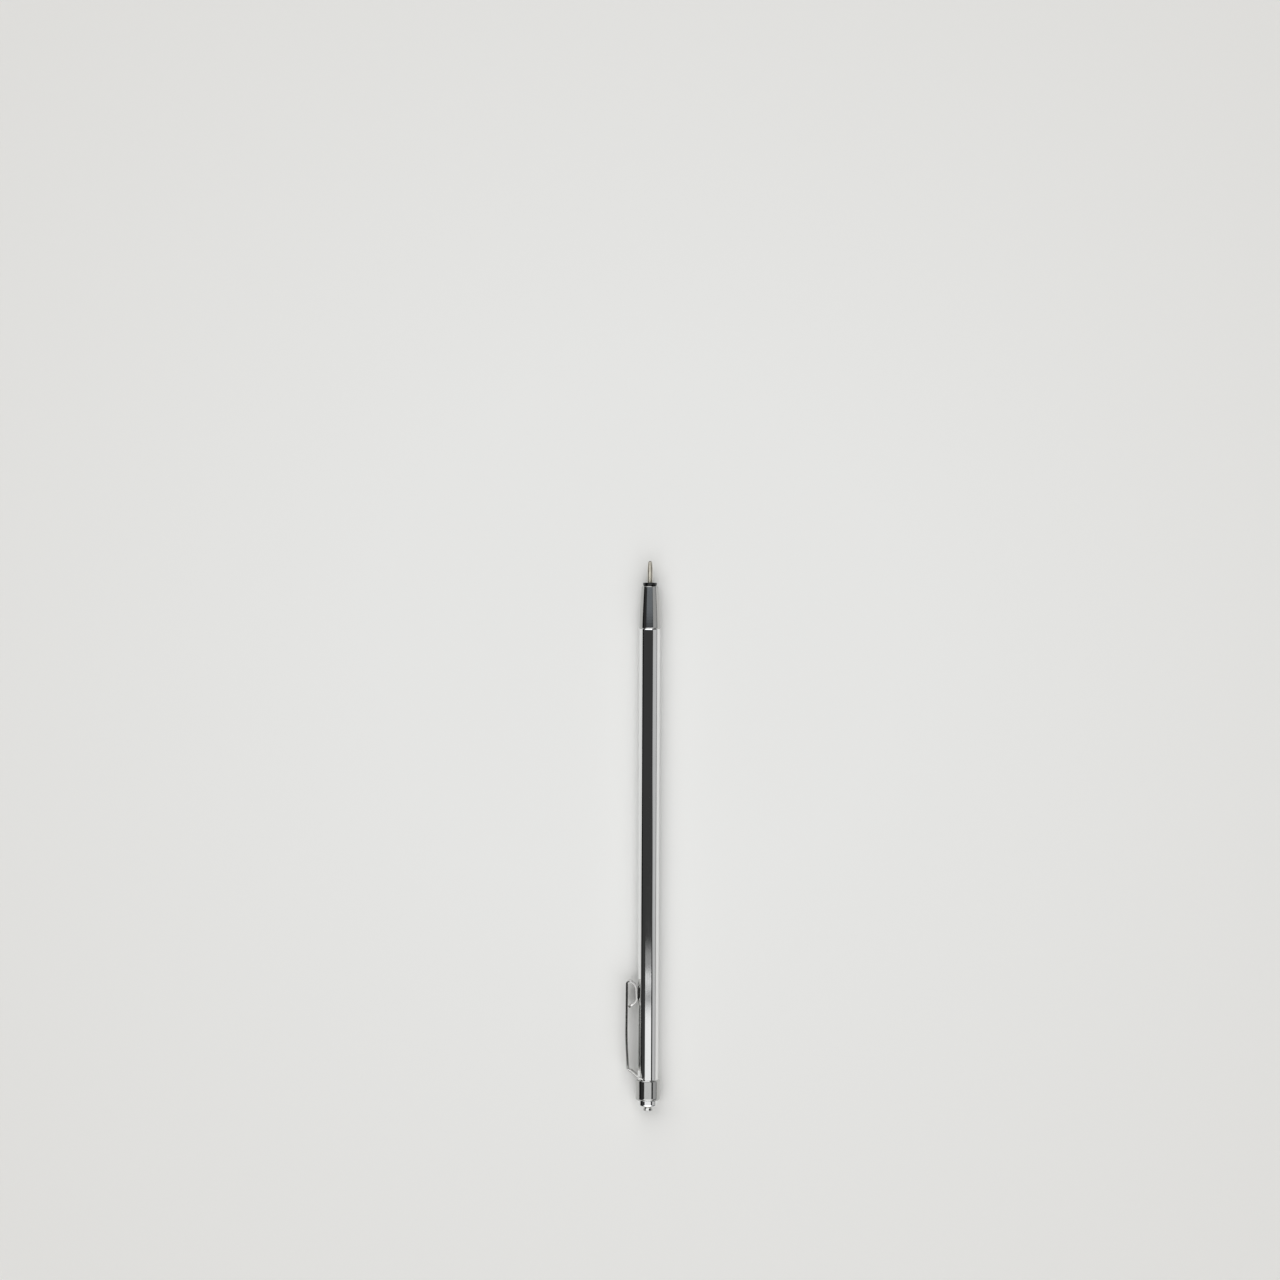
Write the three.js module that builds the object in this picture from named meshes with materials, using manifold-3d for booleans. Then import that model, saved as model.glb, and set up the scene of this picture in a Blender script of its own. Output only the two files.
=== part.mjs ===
// A slim pocket ballpoint pen with a spring-strip clip, lying on a table with its refill pushed out.
// Millimetres. +Y runs towards the writing tip, the clip lies to -X and +Z is up.
// Stations are distances behind the front of the writing ball, measured along the pen's axis.
import * as THREE from 'three';
import { mergeVertices } from 'three/addons/utils/BufferGeometryUtils.js';
import Module from 'manifold-3d';

// Lengths along the axis
const needleShown = 3.77;
const collarLength = 0.63;
const coneLength = 7.3;
const barrelLength = 81.4;
const tailRingLength = 1.1;
const neckShown = 0.2;
const buttonLength = 0.65;
const travel = 4.4;

// Nose cone and tip bush
const collarRadius = 1.21;
const collarNeckRadius = 1.075;
const collarEdge = 0.12;
const bushSpigotRadius = 0.88;
const coneFrontRadius = 1.425;
const coneBaseRadius = 1.85;
const coneBulge = 0.03;
const coneFrontEdge = 0.1;
const coneBaseEdge = 0.07;
const coneSpigotLength = 4.3;

// Barrel, clip sleeve and tail bush
const barrelRadius = 1.8;
const barrelWall = 0.25;
const barrelFrontEdge = 0.18;
const sleeveRadius = 2.12;
const sleeveLength = 3.5;
const sleeveEdge = 0.28;
const tailRingRadius = 1.815;
const tailRingEdge = 0.14;
const plugLength = 6.2;
const plugFrontLand = 1.8;
const plugRearLand = 0.4;

// Refill
const refillLength = 67;
const refillRadius = 1.175;
const refillWall = 0.175;
const needleLength = 6.3;
const holderNoseLength = 4.6;
const holderNoseRadius = 0.8;
const shoulderThickness = 0.3;
const holderTailLength = 3.6;
const needleRadius = 0.425;
const needleBoreRadius = 0.3;
const needleSeatDepth = 0.5;
const needleTaperLength = 1;
const needleLipWall = 0.06;
const ballRadius = 0.25;
const ballShown = 0.12;
const inkLevel = 58;

// Plunger that carries the refill
const carrierGrip = 3.5;
const carrierWeb = 1;
const carrierSocketDepth = 3.4;
const colletSlotWidth = 0.35;
const colletSlotLength = 3;
const rodCollarRadius = 0.95;
const rodRadius = 0.63;
const rodTangRadius = 0.35;
const rodTangLength = 0.4;
const buttonFrontRadius = 0.66;
const buttonRadius = 0.82;
const buttonDome = 0.16;
const detentWireRadius = 0.15;
const detentGrooveDepth = 0.12;
const detentGapAngle = 60 * Math.PI / 180;
const keeperLength = 0.6;

// Clip, drawn by the corners of its side profile
const clipThickness = 0.42;
const clipRootHalfWidth = 1.25;
const clipEndHalfWidth = 1;
const clipLength = 17.45;
const clipShoulderHeight = 3.47;
const clipBowHeight = 3.74;
const clipBowRadius = 60;
const clipTopHeight = 3.67;
const clipTopRadius = 0.45;
const clipKneeHeight = 2.13;
const clipKneeSetback = 1.1;
const clipKneeRadius = 1.2;
const clipBellyHeight = 2.02;
const clipBellySetback = 3.8;
const clipBellyRadius = 1;
const clipEndHeight = 3.3;
const clipEndSetback = 4.9;
const clipEndFullness = 0.92;
const clipCrossing = 0.72;
const clipRootRun = 1.52;
const clipBendRadius = 0.35;
const legSplay = 1.5;
const legLap = 0.6;
const legAngle = 60 * Math.PI / 180;
const legCircleRadius = 1.66;
const legInset = 0.6;
const legRock = 0.11;

// Clearances
const pressGap = 0.02;
const slideGap = 0.05;
const stopGap = 0.05;
const bushEndPlay = 0.2;

// Faceting
const sides = 32;
const fineSides = 16;
const wireSides = 8;
const foldSteps = 6;
const coneSteps = 6;
const ballSteps = 8;

// Stations that follow from the lengths
const coneFront = needleShown + collarLength;
const coneBase = coneFront + coneLength;
const bushRear = needleLength - bushEndPlay;
const refillShoulder = needleLength + holderNoseLength;
const spigotRear = coneBase + coneSpigotLength;
const barrelRear = coneBase + barrelLength;
const tailRingRear = barrelRear + tailRingLength;
const buttonFront = tailRingRear + neckShown;
const overallLength = buttonFront + buttonLength;
const sleeveFront = barrelRear - sleeveLength;
const plugFront = barrelRear - plugLength;
const keeperRear = plugFront + keeperLength;
const detentStation = keeperRear + pressGap + detentWireRadius;
const chamberRear = detentStation + detentWireRadius + pressGap;
const carrierFront = refillLength - carrierGrip;
const carrierSeat = refillLength + stopGap;
const rodFront = carrierSeat + carrierWeb + stopGap;
const carrierRear = carrierSeat + carrierWeb + carrierSocketDepth;
const rodShoulder = plugFront - travel - stopGap;
const legRadius = clipThickness / 2;
const legRear = barrelRear - legInset;
const slotFront = sleeveFront - clipThickness - legRock;
const clipShoulder = sleeveFront - clipThickness - clipRootRun;
const clipTop = sleeveFront - clipLength;

// Radii that follow from the fits
const barrelBore = barrelRadius - barrelWall;
const spigotRadius = barrelBore - slideGap;
const refillClearBore = refillRadius + slideGap;
const noseBore = bushSpigotRadius + pressGap;
const needleGuideBore = needleRadius + slideGap;
const refillBore = refillRadius - refillWall;
const plugRadius = barrelBore - pressGap;
const rodBore = rodRadius + slideGap;
const countersinkRadius = buttonRadius + slideGap;
const countersinkDepth = countersinkRadius - rodBore;
const detentCircleRadius = rodRadius + pressGap + detentWireRadius;
const chamberRadius = detentCircleRadius + detentWireRadius + slideGap;
const legRoom = legRadius + slideGap + legRock / 2;
const waistRadius = legCircleRadius - legRoom;
const keywayRadius = legCircleRadius + legRoom;
const slotHalfWidth = 2 * legRadius;

const wasm = await Module();
wasm.setup();

const pen = new THREE.Group();

const chrome = { color: 0xc9cbcd, roughness: 0.06, metalness: 1 };
const steel = { color: 0xb9bbbd, roughness: 0.2, metalness: 1 };
const springSteel = { color: 0xc4c6c8, roughness: 0.12, metalness: 1 };
const nickelSilver = { color: 0xb3ac98, roughness: 0.28, metalness: 1 };
const brass = { color: 0xb8954a, roughness: 0.3, metalness: 1 };
const carbide = { color: 0x6f7276, roughness: 0.25, metalness: 1 };
const blackResin = { color: 0x141516, roughness: 0.25, metalness: 0 };
const whiteAcetal = { color: 0xe6e4dc, roughness: 0.5, metalness: 0 };
const ink = { color: 0x08090f, roughness: 0.35, metalness: 0 };

/** Add a named piece with a material of its own. */
function addPiece(name, geometry, finish) {
  const mesh = new THREE.Mesh(geometry, new THREE.MeshStandardMaterial(finish));
  mesh.name = name;
  pen.add(mesh);
}

/** Turn a profile of [radius, station] points about the pen's axis: out along the skin, back along the bore. */
function revolve(profile, segments = sides) {
  const points = profile.map(([radius, station]) => new THREE.Vector2(radius, -station));
  return new THREE.LatheGeometry(points.reverse(), segments);
}

/** A solid for cutting and joining, made from a closed geometry. */
function solidOf(geometry) {
  const bare = geometry.clone();
  bare.deleteAttribute('normal');
  bare.deleteAttribute('uv');
  const welded = mergeVertices(bare, 1e-5);
  const vertProperties = new Float32Array(welded.attributes.position.array);
  const triVerts = new Uint32Array(welded.index.array);
  return new wasm.Manifold(new wasm.Mesh({ numProp: 3, vertProperties, triVerts }));
}

/** The geometry of a cut or joined solid. */
function geometryOf(solid) {
  const mesh = solid.getMesh();
  const geometry = new THREE.BufferGeometry();
  geometry.setAttribute('position', new THREE.BufferAttribute(mesh.vertProperties, 3));
  geometry.setIndex(new THREE.BufferAttribute(mesh.triVerts, 1));
  return geometry;
}

/** Take each cutter away from a geometry. */
function cut(geometry, cutters) {
  const solid = cutters.reduce((rest, cutter) => rest.subtract(solidOf(cutter)), solidOf(geometry));
  return geometryOf(solid);
}

/** A box that runs between two stations, between two radii and a half width to each side of an angle. */
function radialBox(angle, innerRadius, outerRadius, halfWidth, front, rear) {
  const box = new THREE.BoxGeometry(outerRadius - innerRadius, rear - front, 2 * halfWidth);
  box.translate((innerRadius + outerRadius) / 2, -(front + rear) / 2, 0);
  box.rotateY(angle);
  return box;
}

/** The sides of the pen where the clip's two legs lie, as turns about the axis from +X. */
const legTurns = [Math.PI + legAngle, Math.PI - legAngle];

/** Corners of a line of points, each rounded to its own radius where it has one. */
function roundedRun(corners) {
  const run = [corners[0].point];
  for (let i = 1; i < corners.length - 1; i += 1) {
    const { point, radius } = corners[i];
    const back = corners[i - 1].point.clone().sub(point).normalize();
    const ahead = corners[i + 1].point.clone().sub(point).normalize();
    const halfOpening = back.angleTo(ahead) / 2;
    const tangent = radius / Math.tan(halfOpening);
    const centre = back.clone().add(ahead).normalize().multiplyScalar(radius / Math.sin(halfOpening));
    const from = back.clone().multiplyScalar(tangent).sub(centre);
    const to = ahead.clone().multiplyScalar(tangent).sub(centre);
    const sweep = from.angleTo(to);
    for (let step = 0; step <= foldSteps; step += 1) {
      const share = step / foldSteps;
      const arm = from.clone().multiplyScalar(Math.sin((1 - share) * sweep) / Math.sin(sweep));
      arm.addScaledVector(to, Math.sin(share * sweep) / Math.sin(sweep));
      run.push(point.clone().add(centre).add(arm));
    }
  }
  run.push(corners[corners.length - 1].point);
  return run;
}

/** A curve through given points, with a section at each of them. */
class PointPath extends THREE.Curve {
  constructor(points) {
    super();
    this.points = points;
  }

  getPoint(share) {
    const place = THREE.MathUtils.clamp(share, 0, 1) * (this.points.length - 1);
    const index = Math.min(Math.floor(place), this.points.length - 2);
    return this.points[index].clone().lerp(this.points[index + 1], place - index);
  }

  getPointAt(share) {
    return this.getPoint(share);
  }

  getTangentAt(share) {
    return this.getTangent(share);
  }
}

/** A round wire along a list of points. */
function wireAlong(points, radius) {
  const section = new THREE.Shape();
  section.absarc(0, 0, radius, 0, 2 * Math.PI, false);
  return new THREE.ExtrudeGeometry(section, {
    steps: points.length - 1,
    curveSegments: wireSides / 2,
    bevelEnabled: false,
    extrudePath: new PointPath(points),
  });
}

/** The cone's skin radius at a share of its length. */
function coneSkin(share) {
  const straight = THREE.MathUtils.lerp(coneFrontRadius, coneBaseRadius, share);
  return straight + coneBulge * 4 * share * (1 - share);
}

function noseCone() {
  const skin = [];
  for (let step = 0; step <= coneSteps; step += 1) {
    const inset = THREE.MathUtils.lerp(coneFrontEdge, coneLength - coneBaseEdge, step / coneSteps);
    skin.push([coneSkin(inset / coneLength), coneFront + inset]);
  }
  return revolve([
    [noseBore, coneFront],
    [coneFrontRadius - coneFrontEdge, coneFront],
    ...skin,
    [coneBaseRadius - coneBaseEdge, coneBase],
    [spigotRadius, coneBase],
    [spigotRadius, spigotRear - barrelFrontEdge],
    [spigotRadius - barrelFrontEdge / 2, spigotRear],
    [refillClearBore, spigotRear],
    [refillClearBore, refillShoulder - stopGap],
    [noseBore, refillShoulder - stopGap],
    [noseBore, coneFront],
  ]);
}

function tipBush() {
  return revolve([
    [needleGuideBore, needleShown],
    [collarRadius - collarEdge, needleShown],
    [collarRadius, needleShown + collarEdge],
    [collarNeckRadius, coneFront],
    [bushSpigotRadius, coneFront],
    [bushSpigotRadius, bushRear],
    [needleGuideBore, bushRear],
    [needleGuideBore, needleShown],
  ]);
}

function barrelTube() {
  const tube = revolve([
    [barrelBore, coneBase],
    [barrelRadius - barrelFrontEdge / 2, coneBase],
    [barrelRadius, coneBase + barrelFrontEdge],
    [barrelRadius, barrelRear],
    [barrelBore, barrelRear],
    [barrelBore, coneBase],
  ]);
  const past = barrelWall;
  const slots = legTurns.map((turn) => radialBox(
    turn, barrelBore - past, barrelRadius + past, slotHalfWidth, slotFront, barrelRear + past));
  return cut(tube, slots);
}

function clipSleeve() {
  const bore = barrelRadius + pressGap;
  const edge = [];
  for (let step = 0; step <= foldSteps; step += 1) {
    const turn = Math.PI / 2 * step / foldSteps;
    edge.push([sleeveEdge * (1 - Math.sin(turn)), sleeveEdge * (1 - Math.cos(turn))]);
  }
  const front = edge.map(([inset, along]) => [sleeveRadius - inset, sleeveFront + along]);
  front[0][0] = Math.max(front[0][0], bore + pressGap);
  const rear = front.map(([radius, station]) => [radius, sleeveFront + barrelRear - station]).reverse();
  const ring = revolve([[bore, sleeveFront], ...front, ...rear, [bore, barrelRear], [bore, sleeveFront]]);
  const keyways = legTurns.map((turn) => radialBox(
    turn, barrelBore, keywayRadius, slotHalfWidth, sleeveFront - sleeveEdge, legRear + 2 * slideGap));
  return cut(ring, keyways);
}

function tailBush() {
  return revolve([
    [chamberRadius, plugFront],
    [plugRadius, plugFront],
    [plugRadius, plugFront + plugFrontLand],
    [waistRadius, plugFront + plugFrontLand],
    [waistRadius, barrelRear - plugRearLand],
    [plugRadius, barrelRear - plugRearLand],
    [plugRadius, barrelRear],
    [tailRingRadius, barrelRear],
    [tailRingRadius, tailRingRear - tailRingEdge],
    [tailRingRadius - tailRingEdge, tailRingRear],
    [countersinkRadius, tailRingRear],
    [rodBore, tailRingRear - countersinkDepth],
    [rodBore, chamberRear],
    [chamberRadius, chamberRear],
    [chamberRadius, plugFront],
  ]);
}

function detentKeeper() {
  return revolve([
    [rodBore, plugFront],
    [chamberRadius - pressGap, plugFront],
    [chamberRadius - pressGap, keeperRear],
    [rodBore, keeperRear],
    [rodBore, plugFront],
  ]);
}

function detentRing() {
  const points = [];
  const turns = 2 * Math.PI - detentGapAngle;
  for (let step = 0; step <= sides; step += 1) {
    const turn = detentGapAngle / 2 + turns * step / sides;
    const x = detentCircleRadius * Math.cos(turn);
    const z = detentCircleRadius * Math.sin(turn);
    points.push(new THREE.Vector3(x, -detentStation, z));
  }
  return wireAlong(points, detentWireRadius);
}

/** One groove of the rod, as points of its skin. */
function detentGroove(station) {
  const half = detentWireRadius + pressGap;
  return [
    [rodRadius, station - half - detentGrooveDepth],
    [rodRadius - detentGrooveDepth, station - half],
    [rodRadius - detentGrooveDepth, station + half],
    [rodRadius, station + half + detentGrooveDepth],
  ];
}

function pushRod() {
  return revolve([
    [0, rodFront],
    [rodCollarRadius, rodFront],
    [rodCollarRadius, rodShoulder],
    [rodRadius, rodShoulder],
    ...detentGroove(detentStation - travel),
    ...detentGroove(detentStation),
    [rodRadius, buttonFront],
    [rodTangRadius, buttonFront],
    [rodTangRadius, buttonFront + rodTangLength],
    [0, buttonFront + rodTangLength],
  ]);
}

function pushButton() {
  const domeStart = overallLength - buttonDome;
  const dome = [];
  for (let step = 0; step < foldSteps; step += 1) {
    const turn = Math.PI / 2 * step / foldSteps;
    dome.push([buttonRadius * Math.cos(turn), domeStart + buttonDome * Math.sin(turn)]);
  }
  return revolve([
    [rodTangRadius + pressGap, buttonFront],
    [buttonFrontRadius, buttonFront],
    ...dome,
    [0, overallLength],
    [0, buttonFront + rodTangLength + pressGap],
    [rodTangRadius + pressGap, buttonFront + rodTangLength + pressGap],
    [rodTangRadius + pressGap, buttonFront],
  ]);
}

function refillCarrier() {
  const skin = barrelBore - slideGap;
  const grip = refillRadius + pressGap;
  const socket = rodCollarRadius + pressGap;
  const webRear = carrierSeat + carrierWeb;
  const body = revolve([
    [grip, carrierFront],
    [skin - slideGap, carrierFront],
    [skin, carrierFront + slideGap],
    [skin, carrierRear],
    [socket, carrierRear],
    [socket, webRear],
    [rodTangRadius, webRear],
    [rodTangRadius, carrierSeat],
    [grip, carrierSeat],
    [grip, carrierFront],
  ]);
  const quarters = [0, 1, 2, 3].map((quarter) => radialBox(
    quarter * Math.PI / 2 + Math.PI / 4, rodTangRadius, barrelRadius, colletSlotWidth / 2,
    carrierFront - slideGap, carrierFront + colletSlotLength));
  return cut(body, quarters);
}

function refillTube() {
  const front = refillShoulder + shoulderThickness;
  return revolve([
    [refillBore, front],
    [refillRadius, front],
    [refillRadius, refillLength],
    [refillBore, refillLength],
    [refillBore, front],
  ]);
}

function needleHolder() {
  const seat = needleRadius + pressGap;
  const tubeFront = refillShoulder + shoulderThickness;
  const rear = tubeFront + holderTailLength;
  return revolve([
    [seat, needleLength],
    [holderNoseRadius - slideGap, needleLength],
    [holderNoseRadius, needleLength + slideGap],
    [holderNoseRadius, refillShoulder],
    [refillRadius, refillShoulder],
    [refillRadius, tubeFront],
    [refillBore - pressGap, tubeFront],
    [refillBore - pressGap, rear],
    [needleBoreRadius, rear],
    [needleBoreRadius, refillShoulder],
    [seat, refillShoulder],
    [seat, needleLength],
  ]);
}

/** The radius of the writing ball at a station, given some room around it. */
function ballRadiusAt(station, room) {
  return Math.sqrt((ballRadius + room) ** 2 - (ballRadius - station) ** 2);
}

function needleTube() {
  const lip = ballRadiusAt(ballShown, pressGap);
  const cup = ballRadius + pressGap;
  const cupRear = 2 * ballRadius + pressGap;
  return revolve([
    [lip, ballShown],
    [lip + needleLipWall, ballShown],
    [needleRadius, ballShown + needleTaperLength],
    [needleRadius, refillShoulder - pressGap],
    [needleBoreRadius, refillShoulder - pressGap],
    [needleBoreRadius, cupRear + needleSeatDepth],
    [ballRadius / 2, cupRear + pressGap],
    [cup, cupRear - ballRadius / 2],
    [cup, ballRadius],
    [lip, ballShown],
  ], fineSides);
}

function writingBall() {
  const ball = new THREE.SphereGeometry(ballRadius, fineSides, ballSteps);
  ball.rotateZ(Math.PI / 2);
  ball.translate(0, -ballRadius, 0);
  return ball;
}

function inkColumn() {
  const thin = needleBoreRadius - pressGap;
  const thick = refillBore - pressGap;
  const holderRear = refillShoulder + shoulderThickness + holderTailLength + pressGap;
  const front = 2 * ballRadius + needleSeatDepth + 2 * pressGap;
  return revolve([
    [0, front],
    [thin, front],
    [thin, holderRear],
    [thick, holderRear],
    [thick, inkLevel],
    [0, inkLevel],
  ], sides);
}

/** A point of the clip, from its station, its height above the pen's axis and its offset to one side. */
function clipPoint(station, height, offset) {
  return new THREE.Vector3(-height, -station, offset);
}

/** One of the two legs, from its end under the sleeve to where it laps into the strip. */
function clipLeg(side) {
  const legHeight = legCircleRadius * Math.cos(legAngle);
  const legOffset = side * legCircleRadius * Math.sin(legAngle);
  const rootOffset = side * (clipRootHalfWidth - legRadius);
  return wireAlong(roundedRun([
    { point: clipPoint(legRear, legHeight, legOffset) },
    { point: clipPoint(sleeveFront - legRadius, legHeight, legOffset), radius: clipBendRadius },
    {
      point: clipPoint(sleeveFront - clipThickness, legHeight + clipCrossing, side * legSplay),
      radius: legRadius,
    },
    { point: clipPoint(clipShoulder, clipShoulderHeight, rootOffset), radius: clipBendRadius },
    { point: clipPoint(clipShoulder - legLap, clipShoulderHeight, rootOffset) },
  ]), legRadius);
}

/** The strip's line in the side view, from just behind its shoulder to its free end. */
function clipLine() {
  const rise = clipShoulderHeight - legCircleRadius * Math.cos(legAngle) - clipCrossing;
  const lapShare = legLap / Math.hypot(rise, clipRootRun);
  const line = roundedRun([
    {
      point: clipPoint(clipShoulder + clipRootRun * lapShare, clipShoulderHeight - rise * lapShare, 0),
    },
    { point: clipPoint(clipShoulder, clipShoulderHeight, 0), radius: clipBendRadius },
    { point: clipPoint((2 * clipShoulder + clipTop) / 3, clipBowHeight, 0), radius: clipBowRadius },
    { point: clipPoint(clipTop, clipTopHeight, 0), radius: clipTopRadius },
    { point: clipPoint(clipTop + clipKneeSetback, clipKneeHeight, 0), radius: clipKneeRadius },
    { point: clipPoint(clipTop + clipBellySetback, clipBellyHeight, 0), radius: clipBellyRadius },
    { point: clipPoint(clipTop + clipEndSetback, clipEndHeight, 0) },
  ]);
  const end = line.pop();
  const bendEnd = line[line.length - 1];
  for (let step = 1; step <= foldSteps; step += 1) {
    line.push(bendEnd.clone().lerp(end, step / foldSteps));
  }
  return line;
}

/** The strip's half width at each point of its line: a slow taper, then a rounded end. */
function clipHalfWidths(line) {
  const left = new Array(line.length).fill(0);
  for (let i = line.length - 2; i >= 0; i -= 1) {
    left[i] = left[i + 1] + line[i].distanceTo(line[i + 1]);
  }
  return left.map((length) => {
    const taper = THREE.MathUtils.lerp(clipEndHalfWidth, clipRootHalfWidth, length / left[0]);
    const share = clipEndFullness * Math.max(0, 1 - length / clipEndHalfWidth);
    return taper * Math.sqrt(1 - share * share);
  });
}

/** A flat strip along a line in the side view, square to it and with its own half width at each point. */
function stripAlong(line, halfWidths, thickness) {
  const positions = [];
  const index = [];
  const corners = [[1, 1], [-1, 1], [-1, -1], [1, -1]];
  line.forEach((point, i) => {
    const before = line[Math.max(i - 1, 0)];
    const after = line[Math.min(i + 1, line.length - 1)];
    const ahead = after.clone().sub(before).normalize();
    corners.forEach(([out, across]) => {
      const reach = out * thickness / 2;
      positions.push(point.x - ahead.y * reach, point.y + ahead.x * reach, across * halfWidths[i]);
    });
  });
  for (let ring = 0; ring < line.length - 1; ring += 1) {
    const first = ring * corners.length;
    corners.forEach((corner, k) => {
      const next = (k + 1) % corners.length;
      const ahead = first + corners.length;
      index.push(first + k, first + next, ahead + next, first + k, ahead + next, ahead + k);
    });
  }
  const last = (line.length - 1) * corners.length;
  index.push(0, 2, 1, 0, 3, 2, last, last + 1, last + 2, last, last + 2, last + 3);
  const geometry = new THREE.BufferGeometry();
  geometry.setAttribute('position', new THREE.Float32BufferAttribute(positions, 3));
  geometry.setIndex(index);
  return geometry;
}

function clipStrip() {
  const line = clipLine();
  const strip = solidOf(stripAlong(line, clipHalfWidths(line), clipThickness));
  return geometryOf(strip.add(solidOf(clipLeg(1))).add(solidOf(clipLeg(-1))));
}

addPiece('barrel_tube', barrelTube(), chrome);
addPiece('nose_cone', noseCone(), chrome);
addPiece('tip_bush', tipBush(), blackResin);
addPiece('clip_sleeve', clipSleeve(), chrome);
addPiece('clip_strip', clipStrip(), springSteel);
addPiece('tail_bush', tailBush(), chrome);
addPiece('detent_keeper', detentKeeper(), brass);
addPiece('detent_ring', detentRing(), springSteel);
addPiece('push_rod', pushRod(), steel);
addPiece('push_button', pushButton(), chrome);
addPiece('refill_carrier', refillCarrier(), whiteAcetal);
addPiece('refill_tube', refillTube(), brass);
addPiece('needle_holder', needleHolder(), nickelSilver);
addPiece('needle_tube', needleTube(), steel);
addPiece('writing_ball', writingBall(), carbide);
addPiece('ink_column', inkColumn(), ink);

const bounds = new THREE.Box3().setFromObject(pen);
const centre = bounds.getCenter(new THREE.Vector3());
pen.position.set(-centre.x, -centre.y, -bounds.min.z);

export default pen;
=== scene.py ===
"""A slim pocket ballpoint pen with a spring clip, lying on a white board with its tip pushed out.

Sizes of the pen are in millimetres, and a mesh is turned to metres as it is made. A station is a
distance behind the front of the writing ball, measured along the pen's axis. An angle is a turn
about that axis, from +X towards +Z.
"""

import logging
import math
from dataclasses import dataclass, field
from enum import Enum
from typing import Any, Mapping, Optional, Sequence

import bmesh
import bpy
import numpy as np
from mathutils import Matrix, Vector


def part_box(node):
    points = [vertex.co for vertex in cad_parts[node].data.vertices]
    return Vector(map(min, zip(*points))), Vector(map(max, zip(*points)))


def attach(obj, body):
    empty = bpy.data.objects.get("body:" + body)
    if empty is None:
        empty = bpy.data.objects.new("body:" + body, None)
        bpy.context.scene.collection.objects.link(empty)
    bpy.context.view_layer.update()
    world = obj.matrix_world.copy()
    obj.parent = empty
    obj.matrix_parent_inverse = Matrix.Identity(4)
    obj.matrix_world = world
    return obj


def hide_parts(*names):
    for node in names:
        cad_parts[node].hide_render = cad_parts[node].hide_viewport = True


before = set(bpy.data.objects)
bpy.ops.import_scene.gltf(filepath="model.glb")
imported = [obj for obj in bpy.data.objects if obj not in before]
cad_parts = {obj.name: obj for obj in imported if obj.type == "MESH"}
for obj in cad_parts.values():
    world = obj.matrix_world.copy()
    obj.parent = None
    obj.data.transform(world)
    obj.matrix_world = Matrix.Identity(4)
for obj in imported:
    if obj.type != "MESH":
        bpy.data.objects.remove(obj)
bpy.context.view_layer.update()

log = logging.getLogger("pen")

MM = 0.001
FULL_TURN = 2 * math.pi

# Points closer than this are one point, and edges shorter than this go, in metres.
MERGE_DISTANCE = 2e-7
SHORTEST_EDGE = 1e-8

# The stretches of the noise that run from the cleanest to the most worn metal, and from the
# glossiest to the dullest plastic.
WEAR_RANGE = (0.1, 0.45)
DRIFT_RANGE = (0.3, 0.7)

# How much wider than its texture a plastic's drift is.
DRIFT_SPAN = 20


# Shapes


@dataclass(frozen=True)
class PenAxis:
    """The line that the pen is turned about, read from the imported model, in metres.

    Attributes:
        x: The axis's place across the table.
        z: Its height over the table.
        front: The y of the front of the writing ball, where stations start.
    """

    x: float
    z: float
    front: float

    @classmethod
    def from_frame(cls) -> "PenAxis":
        """Take the axis from the middle of the barrel and the front of the writing ball.

        Returns:
            The pen's axis.
        """
        low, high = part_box("barrel_tube")
        ball_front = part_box("writing_ball")[1].y
        return cls((low.x + high.x) / 2, (low.z + high.z) / 2, ball_front)

    def place(self, across: np.ndarray, station: np.ndarray, up: np.ndarray) -> np.ndarray:
        """Put points given from the axis into the frame.

        Args:
            across: Distances from the axis towards +X, in millimetres.
            station: Distances behind the front of the ball, in millimetres.
            up: Distances above the axis, in millimetres.

        Returns:
            The points in metres, with x, y and z in the last place.
        """
        across, station, up = np.broadcast_arrays(across, station, up)
        return np.stack(
            [self.x + across * MM, self.front - station * MM, self.z + up * MM], axis=-1
        )


@dataclass(frozen=True)
class Corner:
    """A corner of a drawn line.

    Attributes:
        point: Its place, in millimetres: radius and station on a profile.
        rounding: The radius that the corner is rounded to, or 0 for a sharp one.
    """

    point: tuple[float, ...]
    rounding: float = 0.0


def rounded_line(corners: Sequence[Corner], closed: bool = False, steps: int = 8) -> np.ndarray:
    """Draw a line through corners, with an arc in each rounded one.

    The arc touches both legs: its centre lies on the line that halves the corner, the rounding
    over the sine of half the opening away, and its points turn evenly between the two touches.

    Args:
        corners: The corners in order.
        closed: Whether the line runs back to its first corner.
        steps: How many pieces an arc has.

    Returns:
        The line's points, one row each, without the repeated first point of a closed line.
    """
    places = np.array([corner.point for corner in corners], float)
    count = len(corners)
    parts = []
    for index, corner in enumerate(corners):
        at_end = not closed and index in (0, count - 1)
        if at_end or corner.rounding <= 0:
            parts.append(places[index][None])
            continue
        back = places[index - 1] - places[index]
        ahead = places[(index + 1) % count] - places[index]
        back /= np.linalg.norm(back)
        ahead /= np.linalg.norm(ahead)
        half = math.acos(float(np.clip(back @ ahead, -1, 1))) / 2
        middle = back + ahead
        centre = middle / np.linalg.norm(middle) * corner.rounding / math.sin(half)
        touch = corner.rounding / math.tan(half)
        start, end = back * touch - centre, ahead * touch - centre
        sweep = math.pi - 2 * half
        share = np.linspace(0, 1, steps + 1)[:, None]
        arms = start * np.sin((1 - share) * sweep) + end * np.sin(share * sweep)
        parts.append(places[index] + centre + arms / math.sin(sweep))
    return np.concatenate(parts)


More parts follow.
